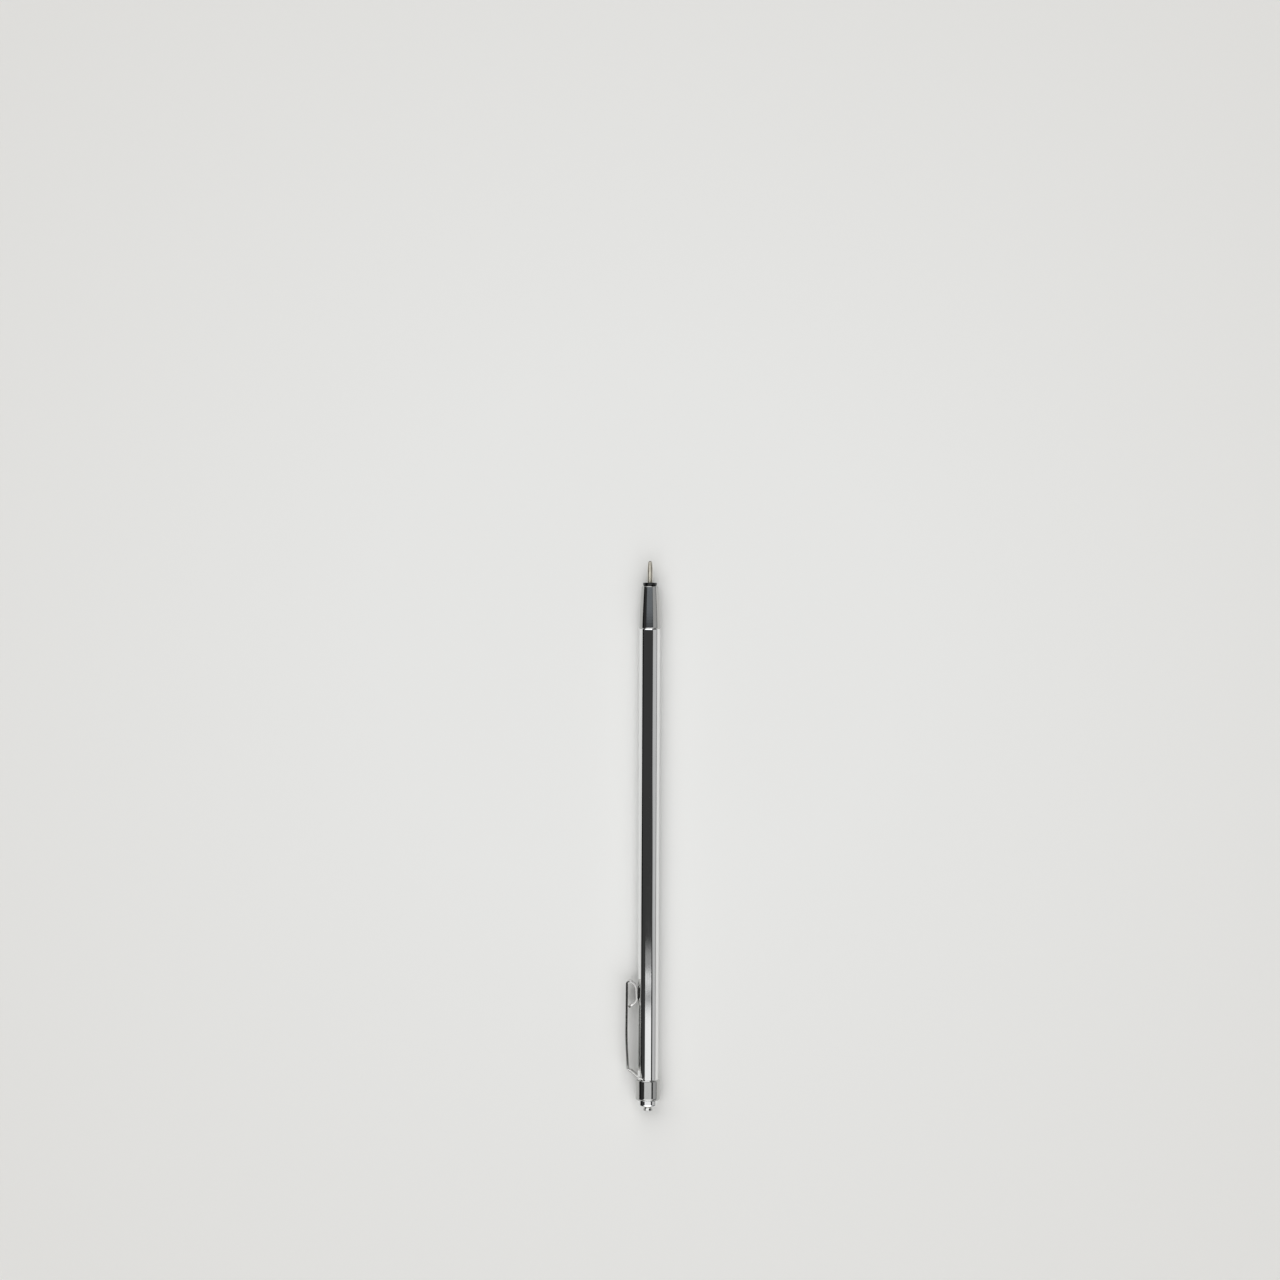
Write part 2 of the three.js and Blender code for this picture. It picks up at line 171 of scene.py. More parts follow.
def held_line(line: np.ndarray, closed: bool, guard: float = 0.03, reach: float = 2.5) -> np.ndarray:
    """Add points to a line's long pieces, so that an edge's soft shading stays close to the edge.

    Each piece over four guards long gets a point one guard from both ends, and points at most
    one reach apart between them.

    Args:
        line: The points of the line.
        closed: Whether it runs back to its first point.
        guard: How close to an end the first added point lies, in millimetres.
        reach: The longest piece that stays whole, in millimetres.

    Returns:
        The longer list of points.
    """
    ends = np.roll(line, -1, axis=0) if closed else line[1:]
    starts = line if closed else line[:-1]
    parts = []
    for start, end in zip(starts, ends):
        length = float(np.linalg.norm(end - start))
        shares = [0.0]
        if length > 4 * guard:
            edge = guard / length
            inner = np.linspace(edge, 1 - edge, max(2, math.ceil(length / reach) + 1))
            shares.extend(inner)
        parts.append(start + (end - start) * np.array(shares)[:, None])
    if not closed:
        parts.append(line[-1][None])
    return np.concatenate(parts)


@dataclass(frozen=True)
class Grid:
    """A surface as a grid of points.

    Attributes:
        points: Metres, with rows, columns and x, y, z.
        measures: The millimetres along the rows and the columns, for the surface's own map.
        rows_closed: Whether the last row joins the first.
        columns_closed: Whether the last column joins the first.
        kept: One yes or no for each quad, where some are left out.
        walls: Further quads, as four point numbers each, that close what is left out.
    """

    points: np.ndarray
    measures: tuple[np.ndarray, np.ndarray]
    rows_closed: bool = False
    columns_closed: bool = True
    kept: Optional[np.ndarray] = None
    walls: Optional[np.ndarray] = None

    def faces(self) -> tuple[np.ndarray, np.ndarray]:
        """Join neighbouring points to quads.

        Returns:
            Four point numbers for each quad, and the row and column of each corner, where a
            closing quad counts on past the last one.
        """
        rows, columns = self.points.shape[:2]
        row = np.arange(rows if self.rows_closed else rows - 1)
        column = np.arange(columns if self.columns_closed else columns - 1)
        row, column = (part.ravel() for part in np.meshgrid(row, column, indexing="ij"))
        corner_row = np.stack([row, row, row + 1, row + 1], axis=1)
        corner_column = np.stack([column, column + 1, column + 1, column], axis=1)
        numbers = (corner_row % rows) * columns + corner_column % columns
        corners = np.stack([corner_row, corner_column], axis=-1)
        if self.kept is not None:
            numbers, corners = numbers[self.kept], corners[self.kept]
        if self.walls is not None:
            numbers = np.concatenate([numbers, self.walls])
            corners = np.concatenate([corners, np.stack(np.divmod(self.walls, columns), axis=-1)])
        return numbers, corners


def make_mesh(name: str, *grids: Grid) -> bpy.types.Object:
    """Make an object from grids, with closed poles, outward faces and soft shading.

    Args:
        name: The piece's name.
        grids: The surfaces, each closed in itself.

    Returns:
        The new object, at the origin with its place in its mesh.
    """
    points = np.concatenate([grid.points.reshape(-1, 3) for grid in grids])
    quads, maps = [], []
    first = 0
    for grid in grids:
        numbers, corners = grid.faces()
        quads.append(numbers + first)
        along_rows, along_columns = grid.measures
        maps.append(
            np.stack([along_columns[corners[..., 1]], along_rows[corners[..., 0]]], axis=-1)
        )
        first += grid.points[..., 0].size
    mesh = bpy.data.meshes.new(name)
    mesh.from_pydata(points.tolist(), [], np.concatenate(quads).tolist())
    layer = mesh.uv_layers.new(name="surface_mm")
    layer.data.foreach_set("uv", np.concatenate(maps).astype(np.float32).ravel())
    close_mesh(mesh)
    piece = bpy.data.objects.new(name, mesh)
    bpy.context.scene.collection.objects.link(piece)
    return piece


def close_mesh(mesh: bpy.types.Mesh, crease: float = 42.0) -> None:
    """Merge points that lie together, point the faces outwards and shade them softly.

    Args:
        mesh: The mesh to mend, in metres.
        crease: Faces that meet at a sharper angle than this keep a sharp edge, in degrees.
    """
    work = bmesh.new()
    work.from_mesh(mesh)
    bmesh.ops.remove_doubles(work, verts=work.verts, dist=MERGE_DISTANCE)
    bmesh.ops.dissolve_degenerate(work, edges=work.edges, dist=SHORTEST_EDGE)
    bmesh.ops.recalc_face_normals(work, faces=work.faces)
    work.to_mesh(mesh)
    work.free()
    mesh.shade_smooth()
    mesh.set_sharp_from_angle(angle=math.radians(crease))
    mesh.update()


def turned(
    axis: PenAxis,
    profile: np.ndarray,
    columns: int,
    closed: bool,
    relief: Optional[np.ndarray] = None,
) -> Grid:
    """Turn a profile about the pen's axis.

    A point at radius r, station s and angle a lies at r cos a across, s behind the ball's front
    and r sin a up. A relief takes its depth off the radius, point by point.

    Args:
        axis: The pen's axis.
        profile: Radius and station of each point, in millimetres.
        columns: How many points go round.
        closed: Whether the profile closes on itself, as a tube's does, or ends on the axis.
        relief: How much lower the skin lies at each row and column, in millimetres.

    Returns:
        The turned grid, with a map of millimetres round and along the skin.
    """
    angle = np.arange(columns) * FULL_TURN / columns
    radius = np.repeat(profile[:, :1], columns, axis=1)
    if relief is not None:
        radius = radius - relief
    points = axis.place(radius * np.cos(angle), profile[:, 1:], radius * np.sin(angle))
    ring = np.concatenate([profile, profile[:1]]) if closed else profile
    along = np.concatenate([[0.0], np.cumsum(np.linalg.norm(np.diff(ring, axis=0), axis=1))])
    around = np.arange(columns + 1) * FULL_TURN / columns * float(profile[:, 0].max())
    return Grid(points, (along, around), rows_closed=closed)


# Finishes


def srgb(code: str) -> tuple[float, float, float, float]:
    """Turn a hex colour into Blender's linear colour.

    Args:
        code: The colour, such as #C4C5C5.

    Returns:
        Red, green, blue and an alpha of 1.
    """
    parts = [int(code[place : place + 2], 16) / 255 for place in (1, 3, 5)]
    linear = [v / 12.92 if v <= 0.04045 else ((v + 0.055) / 1.055) ** 2.4 for v in parts]
    return (linear[0], linear[1], linear[2], 1.0)


def add_node(
    tree: bpy.types.NodeTree,
    kind: str,
    settings: Optional[Mapping[str, Any]] = None,
    values: Optional[Mapping[Any, Any]] = None,
    links: Optional[Mapping[Any, bpy.types.NodeSocket]] = None,
) -> bpy.types.Node:
    """Add a node with its settings, its sockets' values and its links.

    Args:
        tree: The tree that the node goes into.
        kind: Blender's name for the kind of node.
        settings: The node's own properties.
        values: Unlinked inputs, by name or number.
        links: Linked inputs, by name or number, with the outputs that feed them.

    Returns:
        The new node.
    """
    node = tree.nodes.new(kind)
    for name, value in (settings or {}).items():
        setattr(node, name, value)
    for name, value in (values or {}).items():
        node.inputs[name].default_value = value
    for name, output in (links or {}).items():
        tree.links.new(output, node.inputs[name])
    return node


def empty_material(name: str) -> tuple[bpy.types.Material, bpy.types.NodeTree]:
    """Make a material that has no nodes yet.

    Args:
        name: The material's name.

    Returns:
        The material and its nodes.
    """
    material = bpy.data.materials.new(name)
    material.use_nodes = True
    material.node_tree.nodes.clear()
    return material, material.node_tree


class Grain(Enum):
    """The way that a metal's working marks run."""

    ALONG = "drawn or polished lengthways"
    AROUND = "turned on a lathe"
    STRIP = "rolled or drawn, along the strip"


@dataclass(frozen=True)
class MetalFinish:
    """A worked metal surface.

    Attributes:
        name: The material's common name and how its surface was made.
        colour: Its reflection colour.
        tarnish: The colour that it drifts to in patches.
        roughness: Its roughness where it is cleanest and where it is most worn.
        grain: The way that its working marks run.
        mark_width: The spacing of the marks, in millimetres.
        mark_length: How far a mark runs, in millimetres.
        mark_depth: How deep the marks are, in millimetres.
        swell_length: The spacing of the slow waves that polishing leaves, in millimetres.
        swell_depth: Their height, in millimetres.
        patch_size: The size of the patches of wear and tarnish, in millimetres.
        stretch: How much more the marks spread a reflection across them than along them.
    """

    name: str
    colour: str
    tarnish: str
    roughness: tuple[float, float]
    grain: Grain
    mark_width: float
    mark_length: float
    mark_depth: float
    swell_length: float = 4.0
    swell_depth: float = 0.0
    patch_size: float = 3.0
    stretch: float = 0.0

    def frequencies(self) -> tuple[float, float, float]:
        """Give the marks' repeats per coordinate: across and along the way that they run.

        Returns:
            The repeats on each of the three coordinates.
        """
        unit = MM if self.grain is not Grain.STRIP else 1.0
        across = 1 / (self.mark_width * unit)
        along = 1 / (self.mark_length * unit)
        if self.grain is Grain.ALONG:
            return (across, along, across)
        if self.grain is Grain.AROUND:
            return (along, across, along)
        return (across, along, 1.0)

    def material(self) -> bpy.types.Material:
        """Build the material.

        Long thin noise stands for the working marks and drives roughness and a fine bump. Broad
        noise stands for wear and tarnish, and a slow one for the waves left by polishing. Where
        marks spread a reflection, they do so along the surface map's first direction, round the
        piece, which a quarter turn makes the way along it.

        Returns:
            The material.
        """
        material, tree = empty_material(self.name)
        place = add_node(tree, "ShaderNodeTexCoord")
        own_map = self.grain is Grain.STRIP
        source = place.outputs["UV" if own_map else "Object"]
        unit = 1.0 if own_map else MM
        stretched = add_node(
            tree,
            "ShaderNodeMapping",
            values={"Scale": self.frequencies()},
            links={"Vector": source},
        )
        marks = add_node(
            tree,
            "ShaderNodeTexNoise",
            values={"Scale": 1.0, "Detail": 3.0, "Roughness": 0.6},
            links={"Vector": stretched.outputs["Vector"]},
        )
        patches = add_node(
            tree,
            "ShaderNodeTexNoise",
            values={"Scale": 1 / (self.patch_size * unit), "Detail": 4.0, "Roughness": 0.55},
            links={"Vector": source},
        )
        wear = add_node(
            tree,
            "ShaderNodeMath",
            settings={"operation": "MULTIPLY"},
            links={0: marks.outputs["Fac"], 1: patches.outputs["Fac"]},
        )
        colour = add_node(
            tree,
            "ShaderNodeMix",
            settings={"data_type": "RGBA"},
            values={"A": srgb(self.colour), "B": srgb(self.tarnish)},
            links={"Factor": patches.outputs["Fac"]},
        )
        roughness = add_node(
            tree,
            "ShaderNodeMapRange",
            values={
                "From Min": WEAR_RANGE[0],
                "From Max": WEAR_RANGE[1],
                "To Min": self.roughness[0],
                "To Max": self.roughness[1],
            },
            links={"Value": wear.outputs["Value"]},
        )
        fine = add_node(
            tree,
            "ShaderNodeBump",
            values={"Strength": 1.0, "Distance": self.mark_depth * MM},
            links={"Height": marks.outputs["Fac"]},
        )
        normal = fine
        if self.swell_depth > 0:
            swell = add_node(
                tree,
                "ShaderNodeTexNoise",
                values={"Scale": 1 / (self.swell_length * unit), "Detail": 1.0},
                links={"Vector": source},
            )
            normal = add_node(
                tree,
                "ShaderNodeBump",
                values={"Strength": 1.0, "Distance": self.swell_depth * MM},
                links={"Height": swell.outputs["Fac"], "Normal": fine.outputs["Normal"]},
            )
        shader = add_node(
            tree,
            "ShaderNodeBsdfPrincipled",
            values={"Metallic": 1.0, "Anisotropic": self.stretch, "Anisotropic Rotation": 0.25},
            links={
                "Base Color": colour.outputs["Result"],
                "Roughness": roughness.outputs["Result"],
                "Normal": normal.outputs["Normal"],
            },
        )
        if self.stretch > 0:
            direction = add_node(
                tree,
                "ShaderNodeTangent",
                settings={"direction_type": "UV_MAP", "uv_map": "surface_mm"},
            )
            tree.links.new(direction.outputs["Tangent"], shader.inputs["Tangent"])
        add_node(
            tree, "ShaderNodeOutputMaterial", links={"Surface": shader.outputs["BSDF"]}
        )
        return material


@dataclass(frozen=True)
class ResinFinish:
    """A moulded plastic or a paste.

    Attributes:
        name: The material's common name and how its surface was made.
        colour: Its colour.
        shade: The colour that it drifts to.
        roughness: Its roughness where it is glossiest and where it is dullest.
        texture_size: The spacing of the mould's texture, in millimetres.
        texture_depth: Its depth, in millimetres.
        index: Its refractive index.
    """

    name: str
    colour: str
    shade: str
    roughness: tuple[float, float]
    texture_size: float
    texture_depth: float
    index: float

    def material(self) -> bpy.types.Material:
        """Build the material: one noise for the mould's texture and a broad one for its drift.

        Returns:
            The material.
        """
        material, tree = empty_material(self.name)
        place = add_node(tree, "ShaderNodeTexCoord").outputs["Object"]
        texture = add_node(
            tree,
            "ShaderNodeTexNoise",
            values={"Scale": 1 / (self.texture_size * MM), "Detail": 3.0},
            links={"Vector": place},
        )
        drift = add_node(
            tree,
            "ShaderNodeTexNoise",
            values={"Scale": 1 / (DRIFT_SPAN * self.texture_size * MM), "Detail": 2.0},
            links={"Vector": place},
        )
        colour = add_node(
            tree,
            "ShaderNodeMix",
            settings={"data_type": "RGBA"},
            values={"A": srgb(self.colour), "B": srgb(self.shade)},
            links={"Factor": drift.outputs["Fac"]},
        )
        roughness = add_node(
            tree,
            "ShaderNodeMapRange",
            values={
                "From Min": DRIFT_RANGE[0],
                "From Max": DRIFT_RANGE[1],
                "To Min": self.roughness[0],
                "To Max": self.roughness[1],
            },
            links={"Value": drift.outputs["Fac"]},
        )
        bump = add_node(
            tree,
            "ShaderNodeBump",
            values={"Strength": 1.0, "Distance": self.texture_depth * MM},
            links={"Height": texture.outputs["Fac"]},
        )
        shader = add_node(
            tree,
            "ShaderNodeBsdfPrincipled",
            values={"IOR": self.index},
            links={
                "Base Color": colour.outputs["Result"],
                "Roughness": roughness.outputs["Result"],
                "Normal": bump.outputs["Normal"],
            },
        )
        add_node(
            tree, "ShaderNodeOutputMaterial", links={"Surface": shader.outputs["BSDF"]}
        )
        return material


Finish = MetalFinish | ResinFinish

# The tube and the end ring are bright aluminium, drawn or turned and then polished lengthways:
# they mirror the room almost as brightly as the room is, with faint lines along them.
POLISHED_ALUMINIUM = MetalFinish(
    name="aluminium_drawn_and_mirror_polished",
    colour="#F5F6F6",
    tarnish="#EDEEEE",
    roughness=(0.02, 0.05),
    grain=Grain.ALONG,
    mark_width=0.06,
    mark_length=9.0,
    mark_depth=0.00006,
    swell_length=6.0,
    swell_depth=0.002,
    patch_size=4.0,
)

# The nose, the sleeve and the button are turned brass under bright chromium, which mirrors about
# half of the light and so looks darker and cooler than the tube.
CHROME_PLATE = MetalFinish(
    name="chromium_plated_over_turned_brass",
    colour="#C4C5C5",
    tarnish="#BFBFBC",
    roughness=(0.04, 0.09),
    grain=Grain.ALONG,
    mark_width=0.09,
    mark_length=3.0,
    mark_depth=0.00025,
    swell_length=1.6,
    swell_depth=0.0012,
    patch_size=1.2,
)

# The clip is stainless spring strip, rolled bright and polished: a slightly grey mirror with
# faint lines along it.
SPRING_STRIP = MetalFinish(
    name="stainless_spring_strip_polished",
    colour="#D3D3D2",
    tarnish="#C8C7C4",
    roughness=(0.04, 0.09),
    grain=Grain.STRIP,
    mark_width=0.07,
    mark_length=3.0,
    mark_depth=0.0002,
    patch_size=1.5,
)

# The needle and the rod are stainless steel turned on a lathe: fine rings spread each reflection
# along the pen, which leaves one bright line down the middle of the needle. The rings are finer
# than the render can show, so they are drawn 0.09 mm apart.
TURNED_STAINLESS = MetalFinish(
    name="stainless_steel_turned",
    colour="#E2DED2",
    tarnish="#CFC9BA",
    roughness=(0.42, 0.5),
    grain=Grain.AROUND,
    mark_width=0.09,
    mark_length=1.5,
    mark_depth=0.002,
    patch_size=0.8,
    stretch=1.0,
)

# The ball is tungsten carbide, ground true: a dark grey metal with a soft gloss.
TUNGSTEN_CARBIDE = MetalFinish(
    name="tungsten_carbide_ground",
    colour="#5E5F60",
    tarnish="#545556",
    roughness=(0.12, 0.2),
    grain=Grain.AROUND,
    mark_width=0.02,
    mark_length=0.05,
    mark_depth=0.0005,
    patch_size=0.15,
)

# The ink tube is drawn brass: warm yellow with lines along it.
DRAWN_BRASS = MetalFinish(
    name="brass_drawn",
    colour="#E0BE74",
    tarnish="#C79F55",
    roughness=(0.16, 0.3),
    grain=Grain.ALONG,
    mark_width=0.08,
    mark_length=6.0,
    mark_depth=0.0008,
    patch_size=3.0,
)

# The keeper is turned brass: the same yellow with rings round it.
TURNED_BRASS = MetalFinish(
    name="brass_turned",
    colour="#E0BE74",
    tarnish="#C79F55",
    roughness=(0.18, 0.32),
    grain=Grain.AROUND,
    mark_width=0.07,
    mark_length=1.5,
    mark_depth=0.001,
    patch_size=0.8,
)

# The needle's holder is turned nickel silver: pale and slightly yellow, with rings round it.
TURNED_NICKEL_SILVER = MetalFinish(
    name="nickel_silver_turned",
    colour="#CFC8B4",
    tarnish="#BDB49C",
    roughness=(0.2, 0.32),
    grain=Grain.AROUND,
    mark_width=0.07,
    mark_length=1.5,
    mark_depth=0.001,
    patch_size=0.8,
)

# The snap ring is phosphated spring wire: a mid grey with a dull gloss.
SNAP_RING_WIRE = MetalFinish(
    name="phosphated_spring_wire",
    colour="#9A9A98",
    tarnish="#858583",
    roughness=(0.2, 0.35),
    grain=Grain.AROUND,
    mark_width=0.05,
    mark_length=0.6,
    mark_depth=0.0005,
    patch_size=0.4,
)

# Black acetal, moulded in a polished tool: deep black with a soft sheen.
BLACK_ACETAL = ResinFinish(
    name="acetal_black_moulded",
    colour="#070708",
    shade="#0B0B0C",
    roughness=(0.1, 0.16),
    texture_size=0.05,
    texture_depth=0.0004,
    index=1.48,
)

# White acetal, moulded in a plain tool: warm white with a satin surface.
WHITE_ACETAL = ResinFinish(
    name="acetal_white_moulded",
    colour="#EBE9E2",
    shade="#E1DED4",
    roughness=(0.38, 0.5),
    texture_size=0.08,
    texture_depth=0.0008,
    index=1.48,
)

# The ink is a thick paste: almost black with a blue cast and a wet gloss.
PASTE_INK = ResinFinish(
    name="ballpoint_ink_paste",
    colour="#0B0C14",
    shade="#11121C",
    roughness=(0.28, 0.45),
    texture_size=0.3,
    texture_depth=0.004,
    index=1.45,
)


@dataclass
class Workshop:
    """Dresses pieces and puts them on their bodies, making each material once."""

    made: dict[str, bpy.types.Material] = field(default_factory=dict)

    def material(self, finish: Finish) -> bpy.types.Material:
        """Give a finish's material, made at its first use.

        Args:
            finish: The finish.

        Returns:
            Its material.
        """
        if finish.name not in self.made:
            self.made[finish.name] = finish.material()
        return self.made[finish.name]

    def fit(
        self,
        piece: bpy.types.Object,
        finish: Finish,
        body: str,
        node: str,
    ) -> None:
        """Dress a new piece and let it stand for its CAD node.

        Args:
            piece: The new piece, in place.
            finish: What it is made of.
            body: The CAD body that it moves with.
            node: The CAD node that it replaces.
        """
        piece.data.materials.append(self.material(finish))
        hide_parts(node)
        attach(piece, body)
        log.info("%s: %d faces, on %s", piece.name, len(piece.data.polygons), body)

    def dress_node(self, node: str, finish: Finish) -> None:
        """Give a CAD node that stays its finish.

        Args:
            node: The node's name.
            finish: What it is made of.
        """
        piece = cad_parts[node]
        if not piece.material_slots:
            piece.data.materials.append(None)
        for place in piece.material_slots:
            place.material = self.material(finish)
        log.info("%s keeps its own shape", node)


# Sub-assemblies


@dataclass(frozen=True)
class Nose:
    """The tapered nose cone, its threaded spigot and the collar that guides the needle."""

    cone_front: float = 4.4
    cone_base: float = 11.7
    front_radius: float = 1.425
    base_radius: float = 1.85
    bulge: float = 0.03
    bulge_span: tuple[float, float] = (0.06, 0.94)
    bulge_corners: int = 13
    front_rounding: float = 0.09
    base_rounding: float = 0.14
    spigot_radius: float = 1.5
    spigot_rear: float = 16.0
    spigot_rounding: float = 0.08
    bore_rounding: float = 0.03
    bore: float = 0.9
    refill_bore: float = 1.225
    bore_step: float = 10.85
    thread_front: float = 12.5
    thread_rear: float = 15.6
    thread_pitch: float = 0.35
    thread_depth: float = 0.13
    thread_run_out: float = 0.2
    thread_rows: int = 12
    collar_front: float = 3.77
    collar_radius: float = 1.21
    collar_neck: float = 1.075
    collar_rounding: float = 0.09
    collar_length: float = 0.4
    collar_draft: float = 0.03
    collar_rear_rounding: float = 0.1
    needle_bore: float = 0.475
    needle_bore_rounding: float = 0.04
    bush_radius: float = 0.88
    bush_rear: float = 6.1
    bush_rounding: float = 0.08
    columns: int = 128

    def skin(self) -> list[Corner]:
        """Give the cone's skin: a straight taper that swells by the bulge half way along it.

        At a share t of the taper, the swelling is the bulge times 4 t (1 - t).

        Returns:
            The skin's corners, from the front.
        """
        share = np.linspace(*self.bulge_span, self.bulge_corners)
        radius = self.front_radius + (self.base_radius - self.front_radius) * share
        radius = radius + self.bulge * 4 * share * (1 - share)
        station = self.cone_front + (self.cone_base - self.cone_front) * share
        return [Corner((float(r), float(s))) for r, s in zip(radius, station)]

    def thread(self, profile: np.ndarray) -> np.ndarray:
        """Work out the thread's relief on the spigot.

        The depth at a station and an angle is half the thread's depth times one less the cosine
        of the full turns of (station / pitch - angle / full turn), faded in and out over one
        pitch at the thread's two ends.

        Args:
            profile: Radius and station of each row of the nose cone.

        Returns:
            How much lower the skin lies at each row and column.
        """
        radius, station = profile[:, :1], profile[:, 1:]
        angle = np.arange(self.columns)[None] / self.columns
        wave = 0.5 - 0.5 * np.cos(FULL_TURN * (station / self.thread_pitch - angle))
        enter = np.clip((station - self.thread_front) / self.thread_pitch, 0, 1)
        leave = np.clip((self.thread_rear - station) / self.thread_pitch, 0, 1)
        on_spigot = np.isclose(radius, self.spigot_radius)
        return self.thread_depth * wave * enter * leave * on_spigot

    def build_cone(self, axis: PenAxis) -> bpy.types.Object:
        """Make the nose cone with its bore and its threaded spigot.

        Args:
            axis: The pen's axis.

        Returns:
            The cone.
        """
        edge = Corner((self.base_radius, self.cone_base), self.base_rounding)
        outer = [
            Corner((self.bore, self.cone_front)),
            Corner((self.front_radius, self.cone_front), self.front_rounding),
            *self.skin(),
            edge,
            Corner((self.spigot_radius, self.cone_base)),
        ]
        rows_end = self.thread_rear + self.thread_run_out
        rows = np.arange(self.cone_base, rows_end, self.thread_pitch / self.thread_rows)
        spigot = np.stack([np.full(len(rows), self.spigot_radius), rows], axis=1)[1:]
        inner = [
            Corner((self.spigot_radius, self.spigot_rear), self.spigot_rounding),
            Corner((self.refill_bore, self.spigot_rear), self.bore_rounding),
            Corner((self.refill_bore, self.bore_step)),
            Corner((self.bore, self.bore_step)),
        ]
        start = rounded_line(outer)
        end = rounded_line([Corner(tuple(spigot[-1])), *inner])[1:]
        profile = np.concatenate([held_line(start, closed=False), spigot])
        profile = np.concatenate([profile, held_line(end, closed=False)])
        grid = turned(axis, profile, self.columns, closed=True, relief=self.thread(profile))
        return make_mesh("nose_cone_dressed", grid)

    def build_collar(self, axis: PenAxis) -> bpy.types.Object:
        """Make the collar and the spigot that presses it into the cone.

        Args:
            axis: The pen's axis.

        Returns:
            The collar.
        """
        collar_rear = (self.collar_radius - self.collar_draft, self.collar_front + self.collar_length)
        line = rounded_line(
            [
                Corner((self.needle_bore, self.collar_front), self.needle_bore_rounding),
                Corner((self.collar_radius, self.collar_front), self.collar_rounding),
                Corner(collar_rear, self.collar_rear_rounding),
                Corner((self.collar_neck, self.cone_front)),
                Corner((self.bush_radius, self.cone_front)),
                Corner((self.bush_radius, self.bush_rear), self.bush_rounding),
                Corner((self.needle_bore, self.bush_rear)),
            ],
            closed=True,
        )
        return make_mesh(
            "tip_collar", turned(axis, held_line(line, closed=True), self.columns, closed=True)
        )

    def build(self, axis: PenAxis, shop: Workshop) -> None:
        """Make and dress the nose.

        Args:
            axis: The pen's axis.
            shop: Where pieces are dressed.
        """
        shop.fit(self.build_cone(axis), CHROME_PLATE, "nose", "nose_cone")
        shop.fit(self.build_collar(axis), BLACK_ACETAL, "nose", "tip_bush")


